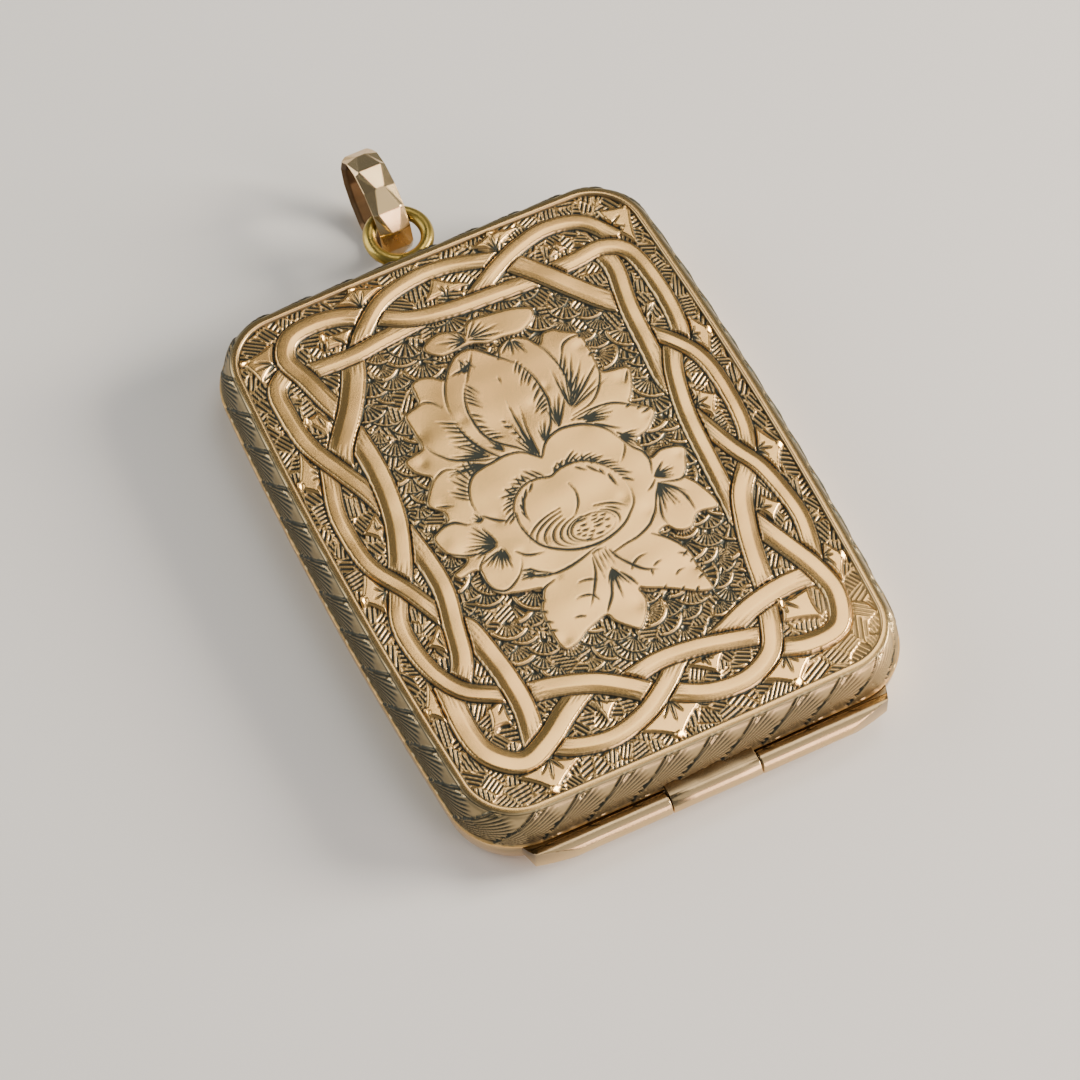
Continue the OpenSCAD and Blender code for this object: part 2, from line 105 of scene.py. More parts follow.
# Each patch is the ground nearest to its seed; the seeds are nudged apart, so that few are slivers.
seeds = np.stack([dice.uniform(-half_w, half_w, patch_count),
                  dice.uniform(-half_l, half_l, patch_count)], 1)
for _ in range(2):
    gap = seeds[:, None] - seeds[None]
    far = np.hypot(gap[..., 0], gap[..., 1]) + np.eye(patch_count) * out_of_reach
    push = gap[np.arange(patch_count), far.argmin(1)] / far.min(1)[:, None]
    seeds += push * np.clip(patch_gap - far.min(1), 0, patch_nudge)[:, None]
seed_angle = dice.choice(patch_aims, patch_count) + dice.uniform(-patch_swing, patch_swing, patch_count)
seed_pitch = dice.uniform(*patch_pitches, patch_count)
nearest = np.zeros(X.shape, int)
closest, second = np.full(X.shape, out_of_reach), np.full(X.shape, out_of_reach)
for k, seed in enumerate(seeds):
    where = window([seed], patch_reach)
    far = np.hypot(X[where] - seed[0], Y[where] - seed[1])
    first = far < closest[where]
    second[where] = np.where(first, closest[where], np.minimum(second[where], far))
    nearest[where] = np.where(first, k, nearest[where])
    closest[where] = np.where(first, far, closest[where])
turn = np.radians(seed_angle[nearest])
patch_rise = patch_uneven * np.cos(turn * 2 + nearest)
phase = (X * np.cos(turn) + Y * np.sin(turn)) / seed_pitch[nearest]
hatch = stripes(phase, patch_bare, patch_crisp) * np.clip((second - closest) / patch_edge, 0, 1)

# Front cover, shell ground
# Inside the ribbons the lowered gold is a field of overlapping shells, each a fan of dark cuts with
# a bright edge and a fine cut round it. They are cut freehand, so their sizes and aims differ.
panel_edge = [(-5.5, 12.4), (5.2, 12.4), (8.4, 8.8), (8.3, -3), (7.3, -10.7), (4, -11.9), (0, -11.5),
              (-4, -11), (-7.2, -10.2), (-7.8, -3), (-7.8, 7.6)]
shell_gap_x, shell_gap_y, shell_columns, shell_jitter = 1.45, 0.9, 8, 0.28
shell_r, shell_sizes, shell_aim, shell_swing = 1.25, (0.7, 1.15), -90, 65
shell_half_a, shell_tilt = math.radians(60), 0.1
ray_count, ray_bares, ray_crisp, ray_reaches, ray_tones = 7, (0.2, 0.42), 4, (0.72, 0.9), (0.75, 1)
shell_root, arc_place, arc_w = 0.2, 0.97, 0.045


def inside(curve, where):
    """Distance inside a closed outline, negative outside it, at the grid points of a window."""
    x, y = X[where], Y[where]
    far = np.full(x.shape, out_of_reach)
    within = np.zeros(x.shape, bool)
    for (x0, y0), (x1, y1) in zip(curve, np.roll(curve, -1, 0)):
        dx, dy = x1 - x0, y1 - y0
        t = np.clip(((x - x0) * dx + (y - y0) * dy) / max(dx * dx + dy * dy, 1e-12), 0, 1)
        far = np.minimum(far, np.hypot(x - x0 - t * dx, y - y0 - t * dy))
        if dy:
            within ^= ((y0 > y) != (y1 > y)) & (x < x0 + (y - y0) * dx / dy)
    return np.where(within, far, -far)


shells, shell_rise = hatch.copy(), np.zeros(X.shape)
for row in range(int(face_l / shell_gap_y)):
    for column in range(-shell_columns, shell_columns + 1):
        apex = np.array([(column + 0.5 * (row % 2)) * shell_gap_x, row * shell_gap_y - half_l])
        apex += dice.uniform(-shell_jitter, shell_jitter, 2)
        aim = math.radians(shell_aim + dice.uniform(-shell_swing, shell_swing))
        r = shell_r * dice.uniform(*shell_sizes)
        rays = ray_count + int(dice.integers(-1, 3))
        where = window([apex], r + 0.1)
        if X[where].size == 0:
            continue
        dx, dy = X[where] - apex[0], Y[where] - apex[1]
        rho = np.hypot(dx, dy) / r
        turn = (np.arctan2(dy, dx) - aim + math.pi) % (2 * math.pi) - math.pi
        shell = (rho < 1) & (np.abs(turn) < shell_half_a)
        ray = stripes((turn / shell_half_a * 0.5 + 0.5) * rays, dice.uniform(*ray_bares), ray_crisp)
        ray = ray * (rho < dice.uniform(*ray_reaches)) * dice.uniform(*ray_tones)
        root = np.clip(1.3 - rho / shell_root, 0, 1)
        arc = np.clip(1.5 - np.abs(rho - arc_place) * r / arc_w, 0, 1)
        shells[where] = np.where(shell, np.maximum(np.maximum(ray, root), arc), shells[where])
        shell_rise[where] = np.where(shell, shell_tilt * (rho - 0.5), shell_rise[where])

in_panel = np.zeros(X.shape, bool)
where = window(panel_edge, 0)
in_panel[where] = inside(np.array(panel_edge), where) > 0
cut = np.where(in_panel, shells, hatch)
height = np.where(in_panel, shell_rise, patch_rise) - ground_d

# Front cover, rose and sprig
# A full rose with its bud and leaves, and a sprig over it, left standing flush with the ribbons when
# the ground round them was cut away. The graver's lines in them swell quickly and taper to a hair.
top_level = -0.015
edge_fall, edge_fall_w, edge_cut_w, edge_cut_tone, edge_spread = 0.03, 0.05, 0.06, 0.9, 0.04
# Cuts: the width of a hair, the share of its full width that a cut starts with, how fast it tapers.
hair, entry_w, taper = 0.02, 0.45, 0.8
rose_edge = [(-0.1, 9.85), (0.5, 9.4), (0.9, 9), (1.5, 9.35), (2.2, 9.5), (2.9, 9.1), (3.3, 8.5),
    (3.7, 9), (4.3, 9.05), (4.8, 8.7), (5.5, 8.1), (5.6, 7), (5.5, 5.6), (5.9, 5.35), (6.9, 5.1),
    (6.7, 4.2), (6.3, 3.5), (6, 3.1), (6.4, 2.7), (6.95, 2.1), (6.5, 1.5), (6, 1.1), (5.4, 0.95),
    (5.15, 0.7), (5.3, 0.2), (5.35, -0.45), (5.7, -0.35), (6.2, -0.2), (6.9, -0.4), (7.3, -0.75),
    (7.05, -1.3), (6.8, -1.9), (6.5, -2.3), (6.9, -3), (7.3, -4.3), (7.1, -4.75), (6.3, -4.6),
    (5.9, -4.7), (5.5, -5.15), (5, -5.25), (4.5, -5), (4.2, -4.6), (3.7, -4.8), (4.2, -5.5), (4.6, -6.4),
    (4.6, -7.4), (4.7, -8.2), (4.7, -9), (4, -8.9), (3.2, -8.4), (2.4, -7.9), (1.6, -7.5), (1.25, -7.3),
    (1.3, -7.9), (1.1, -8.5), (0.7, -9.1), (0.2, -9.5), (-0.3, -9.1), (-0.8, -8.5), (-1, -8),
    (-1.6, -8.15), (-2.3, -8.4), (-3, -8.8), (-3.8, -8.9), (-4, -8.2), (-4, -7.2), (-3.9, -6.3),
    (-3.5, -5.6), (-3.3, -5.1), (-4, -4.9), (-4.7, -4.7), (-5.4, -4.4), (-5.75, -3.7), (-5.7, -2.8),
    (-6.1, -2.6), (-6.8, -2.7), (-7, -2.3), (-6.3, -2.05), (-6, -1.75), (-6.5, -1.4), (-6.9, -0.8),
    (-7, 0.1), (-6.3, 0.55), (-5.9, 0.75), (-5.85, 1.3), (-6.4, 2), (-6.1, 2.6), (-5.7, 3.1), (-5.5, 3.5),
    (-5.9, 3.9), (-6.2, 4.3), (-6.3, 5), (-5.6, 5.2), (-5.1, 5.4), (-5.1, 6.5), (-5.1, 7.5), (-4.6, 7.75),
    (-4.1, 7.95), (-4, 8.6), (-3.9, 9.2), (-3.3, 9.35), (-2.7, 9.1), (-2.2, 8.7), (-1.8, 9.2),
    (-1.3, 9.65), (-0.7, 9.9)]
sprig_edge = [(-2.4, 10.9), (-1.7, 11.4), (-1, 11.45), (-0.3, 11.1), (0, 10.75), (0.3, 11.3), (0.9, 11.5),
    (1.8, 11.4), (3, 11.2), (3.9, 10.8), (3.9, 10.3), (3.4, 9.85), (2.7, 9.6), (1.7, 9.75), (0.9, 9.75),
    (0.2, 10.05), (-0.4, 10.1), (-1, 10.05), (-1.8, 10.15)]


def smooth_line(points, pieces, closed=False):
    """A smooth curve through points."""
    p = np.array(points, float)
    if closed:
        p = np.concatenate([p[-1:], p, p[:2]])
    else:
        p = np.concatenate([2 * p[:1] - p[1:2], p, 2 * p[-1:] - p[-2:-1]])
    t = (np.arange(pieces) / pieces)[:, None]
    out = []
    for p0, p1, p2, p3 in zip(p, p[1:], p[2:], p[3:]):
        out.append(0.5 * (2 * p1 + (p2 - p0) * t + (2 * p0 - 5 * p1 + 4 * p2 - p3) * t**2
                          + (3 * p1 - p0 - 3 * p2 + p3) * t**3))
    if not closed:
        out.append(p[-2:-1])
    return np.concatenate(out)


def along(curve, where):
    """Distance to the left of a curve, length along it and its whole length, in a window."""
    steps = np.diff(curve, axis=0)
    length = np.r_[0, np.cumsum(np.hypot(steps[:, 0], steps[:, 1]))]
    tangent = np.gradient(curve, axis=0)
    tangent /= np.maximum(np.hypot(tangent[:, 0], tangent[:, 1]), 1e-9)[:, None]
    x, y = X[where], Y[where]
    near = ((x[..., None] - curve[:, 0]) ** 2 + (y[..., None] - curve[:, 1]) ** 2).argmin(-1)
    dx, dy = x - curve[near, 0], y - curve[near, 1]
    tx, ty = tangent[near, 0], tangent[near, 1]
    return dy * tx - dx * ty, length[near] + dx * tx + dy * ty, length[-1]


def engrave(points, wide, swell, only):
    """One cut, at its widest where the share swell of its length is done, on part of the face only."""
    curve = smooth_line(points, 6)
    where = window(curve, wide)
    if X[where].size == 0:
        return
    across, s, total = along(curve, where)
    t = np.clip(s / total, 0, 1)
    swelling, tapering = entry_w + (1 - entry_w) * t / swell, ((1 - t) / (1 - swell)) ** taper
    half = wide / 2 * np.where(t < swell, swelling, tapering)
    edge = np.clip((half - np.abs(across)) / (grid_step * 0.7) + 0.5, 0, 1) * np.clip(half / hair, 0, 1)
    mark = np.where((s > -hair) & (s < total + hair), edge, 0) * only[where]
    cut[where] = np.maximum(cut[where], mark)


rose = np.zeros(X.shape, bool)
for points in (rose_edge, sprig_edge):
    curve = smooth_line(points, 4, closed=True)
    where = window(curve, 0.3)
    q = inside(curve, where)
    own = q > -edge_spread
    edge = np.clip(1 - np.abs(q) / edge_cut_w, 0, 1) * edge_cut_tone
    fall = edge_fall * np.exp(-np.clip(q, 0, None) / edge_fall_w)
    cut[where] = np.where(own, edge, cut[where])
    height[where] = np.where(own, top_level - fall, height[where])
    rose[where] |= own

# Outlines of the petals. Columns: width, line
outlines = [
    (0.12, [(0.25, 2.05), (-0.6, 3.15), (-1.45, 3.95), (-1.85, 4.7), (-1.97, 5.5), (-1.98, 6.3),
        (-1.8, 7.05), (-1.5, 7.65), (-1.1, 8.2)]),
    (0.07, [(-1.2, 8.05), (-0.8, 8.65), (-0.4, 9.25), (-0.1, 9.75)]),
    (0.1, [(0.25, 2.05), (0.9, 2.9), (1.45, 3.5), (1.85, 4.2), (2.15, 5.1), (2.17, 6.1), (2.05, 7),
        (1.8, 7.65), (1.5, 8.15), (1.1, 8.6)]),
    (0.09, [(1.6, 8.05), (1.1, 8.6), (0.7, 9.05), (0.3, 9.45), (-0.1, 9.8)]),
    (0.07, [(-1.3, 9.6), (-1.8, 9.1), (-2.25, 8.5), (-2.6, 7.8), (-2.82, 7), (-2.9, 6.1)]),
    (0.14, [(-1.7, 3.05), (-2.2, 3.75), (-2.55, 4.4), (-2.8, 5.2), (-2.92, 6.1)]),
    (0.08, [(2.9, 9.05), (3.3, 8.3), (3.55, 7.4), (3.68, 6.4), (3.55, 5.4), (3.25, 4.5), (2.8, 3.7)]),
    (0.1, [(-1.7, 3.02), (-2.5, 3.25), (-3.3, 3.6), (-4, 4), (-4.4, 4.4), (-4.8, 5), (-5.02, 5.8)]),
    (0.08, [(-3.1, 7.2), (-3.4, 7.65), (-3.8, 7.88), (-4.3, 7.8)]),
    (0.08, [(2.9, 3.65), (4, 3.9), (4.7, 4.4), (5.2, 5.1), (5.5, 5.9), (5.58, 6.9)]),
    (0.09, [(5.5, 8.05), (5, 8.1), (4.5, 7.95), (4.2, 7.6), (4, 7.1)]),
    (0.1, [(2.7, 3.45), (3.8, 3.58), (4.8, 3.52), (5.4, 3.3), (6, 2.85), (6.8, 2.15)]),
    (0.07, [(-4, 3.3), (-4.6, 3.6), (-5.2, 3.42), (-5.7, 3.02)]),
    (0.11, [(0.25, 2.05), (-0.5, 2.8), (-1.3, 3.02), (-2.1, 2.95), (-3, 2.85), (-3.6, 2.55),
        (-4.05, 1.95), (-4.28, 1.2), (-4.28, 0.6), (-4, 0.05)]),
    (0.12, [(-4.1, 0.2), (-3.7, -0.2), (-3.3, -0.5), (-2.85, -0.7)]),
    (0.13, [(0.25, 2.05), (0.9, 2.85), (1.8, 3.2), (2.7, 3.1), (3.4, 2.8), (4.05, 2.2), (4.4, 1.5),
        (4.55, 0.9)]),
    (0.06, [(4.6, 1.1), (4.4, 0.6), (4.1, 0.2), (3.8, -0.1)]),
    (0.1, [(4.55, 1.2), (4.85, 0.5), (5.2, 0), (5.25, -0.6), (5.05, -1.2), (4.9, -1.6)]),
    (0.07, [(4.95, -1.8), (4.6, -2.1), (4.2, -2.3)]),
    (0.13, [(-2.5, -0.4), (-2.6, -1.2), (-2.4, -2.2), (-2, -2.9), (-1.2, -3.5), (-0.4, -3.83),
        (0.6, -3.95), (1.5, -3.8), (2.3, -3.48), (2.9, -3), (3.35, -2.5), (3.55, -1.8), (3.55, -1.1)]),
    (0.09, [(-2.7, -0.6), (-2.3, 0.2), (-1.8, 0.7), (-1.2, 0.98), (-0.5, 1), (0, 0.85), (0.3, 0.85),
        (0.7, 1.03), (1.4, 1.08), (2.1, 0.93), (2.7, 0.5), (3.1, 0), (3.5, -0.7), (3.58, -1.2)]),
    (0.08, [(0.8, 0), (0.9, -0.6), (0.75, -1.2), (0.4, -1.7), (0, -2.02)]),
    (0.1, [(-3.5, -2.5), (-3.1, -2.92), (-2.6, -3.1), (-2.1, -3.15)]),
    (0.12, [(-3.4, -4.2), (-2.9, -4.45), (-2.1, -4.57), (-1.3, -4.53), (-0.6, -4.38), (0, -4.2),
        (0.8, -4.05)]),
    (0.1, [(1, -4.78), (1.8, -4.6), (2.6, -4.48), (3.4, -4.15), (3.85, -3.75), (4.15, -3.4), (4.5, -2.8),
        (4.85, -2.1)]),
    (0.13, [(-6.8, 0.28), (-6.2, 0.52), (-5.6, 0.48), (-5.1, 0.12), (-4.7, -0.02)]),
    (0.1, [(-6.7, -1.1), (-6.1, -1.5), (-5.5, -1.72), (-4.9, -1.8), (-4.3, -1.76)]),
    (0.1, [(-5.1, -2.05), (-5.6, -2.55), (-5.72, -3.2), (-5.6, -3.9), (-5.2, -4.32), (-4.8, -4.35),
        (-4.3, -4.1), (-3.85, -3.75), (-3.5, -3.2), (-3.4, -2.8)]),
    (0.08, [(5.5, -0.5), (6.1, -0.27), (6.8, -0.42), (7.25, -0.7)]),
    (0.09, [(5.2, -2.1), (6.2, -2.35), (6.7, -2), (7, -1.4)]),
    (0.1, [(4.95, -2.4), (4.5, -3.3), (4.28, -4), (4.32, -4.7)]),
    (0.1, [(5.35, -2.4), (5.85, -3.05), (6, -3.8), (5.95, -4.6)]),
    (0.1, [(-0.1, -4.6), (-0.4, -5.5), (-1, -6.5), (-1.6, -7.3)]),
    (0.12, [(0.1, -6.3), (-0.2, -7), (-0.6, -7.5), (-1, -7.95)]),
    (0.13, [(1, -5), (1.5, -5.8), (2, -6.4), (2.75, -6.77)]),
    (0.12, [(0.8, -6), (1.1, -6.6), (1.3, -7.2)]),
    (0.09, [(-2.5, -4.9), (-3.2, -5.15), (-3.6, -5.7)]),
    (0.09, [(3.3, -4.65), (3.9, -5.2), (4.3, -5.8), (4.55, -6.5)]),
    (0.09, [(-6, 1.75), (-5.6, 1.6), (-5.1, 1.4)]),
    (0.08, [(6.3, 4.3), (6.6, 4.7), (6.8, 5)]),
]
# Single strokes inside the petals. Columns: width, line
strokes = [
    (0.13, [(0.22, 2.1), (0.1, 3.4), (0.08, 5), (0.15, 6.1)]),
    (0.08, [(0.12, 2.3), (-0.15, 3.6), (-0.42, 5.25)]),
    (0.08, [(0.25, 2.3), (0.32, 3.9), (0.65, 5.6)]),
    (0.05, [(0.42, 7.6), (0.36, 7)]),
    (0.09, [(-0.5, -5.85), (-0.9, -5.66), (-1.3, -5.6), (-1.6, -5.65)]),
    (0.09, [(-1, -6.66), (-1.4, -6.46), (-1.8, -6.42), (-2.1, -6.5)]),
    (0.09, [(-2, -7.56), (-2.3, -7.43), (-2.7, -7.42)]),
    (0.07, [(-1.1, -6.6), (-0.98, -6.85), (-0.9, -7.15)]),
    (0.09, [(1.4, -6.1), (1.7, -5.8), (2.1, -5.62), (2.65, -5.58)]),
    (0.08, [(2.3, -6.6), (2.2, -7)]),
    (0.07, [(2.5, -6.45), (2.8, -6.32), (3.2, -6.33)]),
    (0.07, [(3.3, -7.42), (3.6, -7.25), (4, -7.25)]),
    (0.07, [(4, -6.3), (4.3, -6.5), (4.5, -6.9)]),
    (0.06, [(0, -4.4), (-0.05, -5.4), (-0.15, -6.3)]),
    (0.05, [(0.3, -4.4), (0.22, -5.1), (0.15, -5.9)]),
    (0.05, [(0.52, -4.4), (0.48, -5.1), (0.45, -5.7)]),
    (0.06, [(0.7, -4.4), (0.72, -5), (0.78, -5.6)]),
    (0.08, [(0.88, -4.5), (1.05, -5), (1.3, -5.5)]),
    (0.07, [(0, -4.35), (0.4, -4.28), (0.9, -4.3)]),
    (0.07, [(1.2, 9.1), (0.95, 8.6), (0.85, 8.9)]),
    (0.14, [(-2.2, 3.35), (-3, 3.6), (-3.9, 3.95)]),
    (0.13, [(3, 3.35), (3.6, 3.25), (4.25, 3.1)]),
    (0.14, [(3.3, 3), (3.9, 2.85), (4.5, 2.7)]),
    (0.13, [(3.7, 2.7), (4.3, 2.2), (4.9, 1.8)]),
    (0.12, [(4.5, 1.7), (4.9, 1.2), (5.4, 0.95)]),
    (0.11, [(4.6, 1.3), (5, 0.9), (5.3, 0.5)]),
    (0.1, [(-3.3, -3.75), (-3, -4.1), (-2.3, -4.5)]),
    (0.09, [(-3.5, -4.15), (-2.9, -4.35), (-2.2, -4.5)]),
]
for swell, table in ((0.5, outlines), (0.3, strokes)):
    for wide, points in table:
        engrave(points, wide, swell, rose)

# Fans of strokes that spread from a petal's root. Columns: root, aim, half spread, number, length
fans = [
    ((1.85, 3.2), 74, 12, 6, 2.5), ((-2.1, 3.3), 139, 19, 8, 2.1), ((2.95, 3.95), 56, 27, 9, 3.1),
    ((-1.3, 3.2), 115, 14, 5, 1.3), ((0.75, 2.6), 66, 12, 5, 1.7), ((-0.1, 10.35), 150, 36, 6, 1.35),
    ((0, 10.4), 12, 30, 6, 1.7), ((-4.1, -1.72), 148, 34, 9, 1.75), ((-4.0, -1.95), -125, 32, 9, 1.7),
    ((4.95, -1.65), 5, 28, 7, 1.2), ((5.05, -1.95), -84, 32, 9, 1.9), ((0.5, -5.45), -98, 19, 7, 1.7),
    ((4.45, 1.5), -38, 26, 6, 1.2), ((3.05, 3.25), -5, 14, 6, 1.7), ((-2.5, 2.95), 172, 13, 6, 1.9),
    ((2.1, 9.5), -100, 36, 6, 1.2), ((-3.2, -4.2), 165, 22, 4, 0.8), ((-4.2, -0.15), 120, 26, 4, 0.8),
    ((0.1, 2.1), 97, 6, 4, 2.6), ((-1.2, 8.6), 40, 25, 4, 0.9), ((-3.1, -3.9), 190, 24, 3, 0.9),
]
fan_swing, fan_reaches, fan_starts, fan_widths = 2, (0.55, 1.1), (0.05, 0.22), (0.07, 0.125)
fan_rounding, fan_bow, stroke_swell = 0.2, 0.12, 0.3
for root, aim, spread, count, length in fans:
    for side in np.linspace(-1, 1, count):
        a = math.radians(aim + spread * side + dice.uniform(-fan_swing, fan_swing))
        reach = length * dice.uniform(*fan_reaches) * (1 - fan_rounding * side * side)
        start = np.array(root) + length * dice.uniform(*fan_starts) * np.array([math.cos(a), math.sin(a)])
        a += fan_bow * side
        tip = start + reach * np.array([math.cos(a), math.sin(a)])
        engrave([start, (start + tip) / 2, tip], dice.uniform(*fan_widths), stroke_swell, rose)

# Combs of barbs along a line. Columns: line, side (1 left, -1 right), lean along it, number, length
combs = [
    ([(0.35, 1.0), (1.4, 1.12), (2.2, 0.85), (2.8, 0.35), (3.3, -0.4), (3.55, -1.2)], 1, 1.5, 16, 0.8),
    ([(0.6, 0.95), (1.3, 1.05), (2, 0.9), (2.6, 0.5)], 1, -0.4, 6, 0.5),
    ([(-0.1, 1.0), (-1.2, 1.05), (-1.9, 0.65), (-2.4, 0.05), (-2.65, -0.9)], -1, 0.9, 14, 0.8),
    ([(-1.2, 1.1), (-1.9, 0.75), (-2.4, 0.2)], -1, -0.5, 5, 0.6),
    ([(1.5, 0.8), (2.2, 0.5), (2.7, 0), (3, -0.5)], -1, 2.6, 4, 0.9),
    ([(-0.9, 0.85), (-1.5, 0.55), (-2, 0), (-2.2, -0.6)], 1, 2.6, 5, 0.95),
    ([(-2.8, 5.9), (-2.6, 4.8), (-2.2, 3.9)], -1, -0.9, 7, 1.15),
    ([(-1.9, 6.1), (-1.85, 5), (-1.5, 4.1)], 1, 0.9, 6, 0.7),
    ([(2.12, 6.4), (2.1, 5.3), (1.85, 4.5)], -1, 0.9, 6, 0.9),
    ([(1.75, 8), (1.95, 7.4), (2.1, 6.8)], -1, 0.7, 5, 0.95),
    ([(-1.35, 7.9), (-1.65, 7.4), (-1.85, 6.8)], 1, 0.6, 5, 0.85),
    ([(-1, 9.5), (-0.5, 9.1), (-0.9, 8.7)], -1, 1.5, 4, 0.9),
    ([(-0.45, 4.9), (-0.2, 3.9), (0, 3)], -1, -1.2, 5, 0.4),
    ([(-3.0, 2.9), (-3.7, 2.5), (-4.1, 1.9), (-4.3, 1.2)], -1, -0.5, 9, 1.0),
    ([(3.6, 6.6), (3.5, 5.3), (3.1, 4.3)], 1, -2.0, 7, 1.1),
    ([(5.5, 8), (5.6, 7.3), (5.55, 6.6)], -1, 0.8, 3, 0.3),
    ([(-3.6, -5.7), (-3.95, -6.8), (-3.95, -7.8)], 1, 0.6, 4, 0.4),
    ([(4.5, -6.4), (4.62, -7.3), (4.65, -8.2)], -1, 0.4, 4, 0.4),
    ([(2.3, -8), (3.2, -8.5), (4, -8.9)], 1, 0.3, 3, 0.35),
    ([(5.9, 3), (6.4, 2.6), (6.8, 2.2)], -1, -0.6, 3, 0.5),
]
comb_from, comb_to, barb_reaches, barb_widths, barb_bow = 0.03, 0.95, (0.6, 1.3), (0.075, 0.13), 0.03
for line, side, lean_on, count, length in combs:
    curve = smooth_line(line, 12)
    for u in np.linspace(comb_from, comb_to, count):
        k = int(u * (len(curve) - 2))
        tangent = (curve[k + 1] - curve[k]) / np.hypot(*(curve[k + 1] - curve[k]))
        out = np.array([-tangent[1], tangent[0]]) * side
        way = (out + tangent * lean_on) / math.hypot(1, lean_on)
        tip = curve[k] + way * length * dice.uniform(*barb_reaches)
        bent = (curve[k] + tip) / 2 + out * barb_bow
        engrave([curve[k], bent, tip], dice.uniform(*barb_widths), stroke_swell, rose)

# The bud's heart: a small oval of short dashes, with crescents closing round it.
# Columns of the dashes: start, end, height. Of the crescents: growth, first and last angle, number of
# points, drift towards the upper left
heart_c, heart_rx, heart_ry, heart_flat = (0.8, -2.9), 1.25, 0.75, 0.42
dashes = [(0.1, 0.75, -2.3), (0.85, 1.25, -2.55), (1.4, 1.75, -2.5), (0.2, 0.6, -2.62), (-0.1, 0.1, -2.8),
          (0.15, 0.6, -2.93), (0.8, 1.4, -2.96), (1.5, 1.8, -2.85), (0, 0.3, -3.2), (0.5, 0.8, -3.15),
          (0.75, 1.25, -3.42), (0.1, 0.5, -3.5), (1.35, 1.65, -3.25), (1, 1.3, -2.35), (0.9, 1.3, -2.75),
          (0.3, 0.6, -3.35), (-0.2, 0.1, -3), (1.2, 1.6, -2.7)]
crescents = [(0.2, 100, 235, 7, 0), (0.45, 110, 238, 7, 1), (0.72, 118, 236, 7, 2), (1.05, 112, 205, 7, 3),
             (1.35, 105, 190, 7, 4), (1.6, 100, 175, 7, 5), (0.22, 60, -35, 6, 0), (0.5, 52, 10, 6, 0),
             (0.95, 75, 8, 6, 0)]
dash_w, dash_bow, crescent_w, rim_cut_w, drift_x, drift_y = 0.09, 0.03, 0.085, 0.07, -0.12, 0.07


def round_heart(grow, first, last, count, drift):
    """Part of an oval round the bud's heart."""
    a = np.radians(np.linspace(first, last, count))
    return np.stack([heart_c[0] + drift_x * drift + (heart_rx + grow) * np.cos(a),
                     heart_c[1] + drift_y * drift + (heart_ry + heart_flat * grow) * np.sin(a)], 1)


engrave(round_heart(0, 0, 360, 14, 0), rim_cut_w, 0.5, rose)
for x0, x1, y in dashes:
    engrave([(x0, y + 0.02), ((x0 + x1) / 2, y + 0.02 - dash_bow), (x1, y + 0.02)], dash_w, 0.4, rose)
for crescent in crescents:
    engrave(round_heart(*crescent), crescent_w, 0.5, rose)

# Dents left by wear and by the graver's turn at petal tips. Columns: place, radius, depth
dents = [
    ((-4.8, 6.1), 0.3, 0.015), ((-3.5, -0.35), 0.28, 0.015), ((3.9, -3.3), 0.3, 0.021),
    ((5.2, 7.4), 0.22, 0.018), ((-5.5, 4.5), 0.22, 0.018), ((-5.7, 1.7), 0.25, 0.012),
    ((-5.9, -1.5), 0.3, 0.015), ((-3.2, -2.75), 0.22, 0.012), ((4.45, -7.3), 0.3, 0.024),
    ((0.9, -8.1), 0.35, 0.027), ((-3.6, -8.4), 0.25, 0.021), ((-4.9, -4.7), 0.2, 0.015),
    ((-2.2, -4.75), 0.18, 0.012), ((3.3, 2.9), 0.2, 0.009), ((6.3, 4.6), 0.25, 0.015),
    ((6.4, 1.9), 0.2, 0.015), ((0.35, 4.9), 0.25, 0.009), ((1.4, 5.2), 0.22, 0.015),
    ((-2.4, 6), 0.25, 0.015), ((-1.6, -2.4), 0.22, 0.021), ((3, -2.1), 0.25, 0.018),
    ((2.4, 5.9), 0.18, 0.015), ((6.8, -0.9), 0.2, 0.015), ((-6.6, -0.3), 0.3, 0.009),
]
for (x, y), r, deep in dents:
    where = window([(x, y)], 3 * r)
    far = ((X[where] - x) ** 2 + (Y[where] - y) ** 2) / r**2
    height[where] -= np.where(rose[where], deep * np.exp(-far / 2), 0)

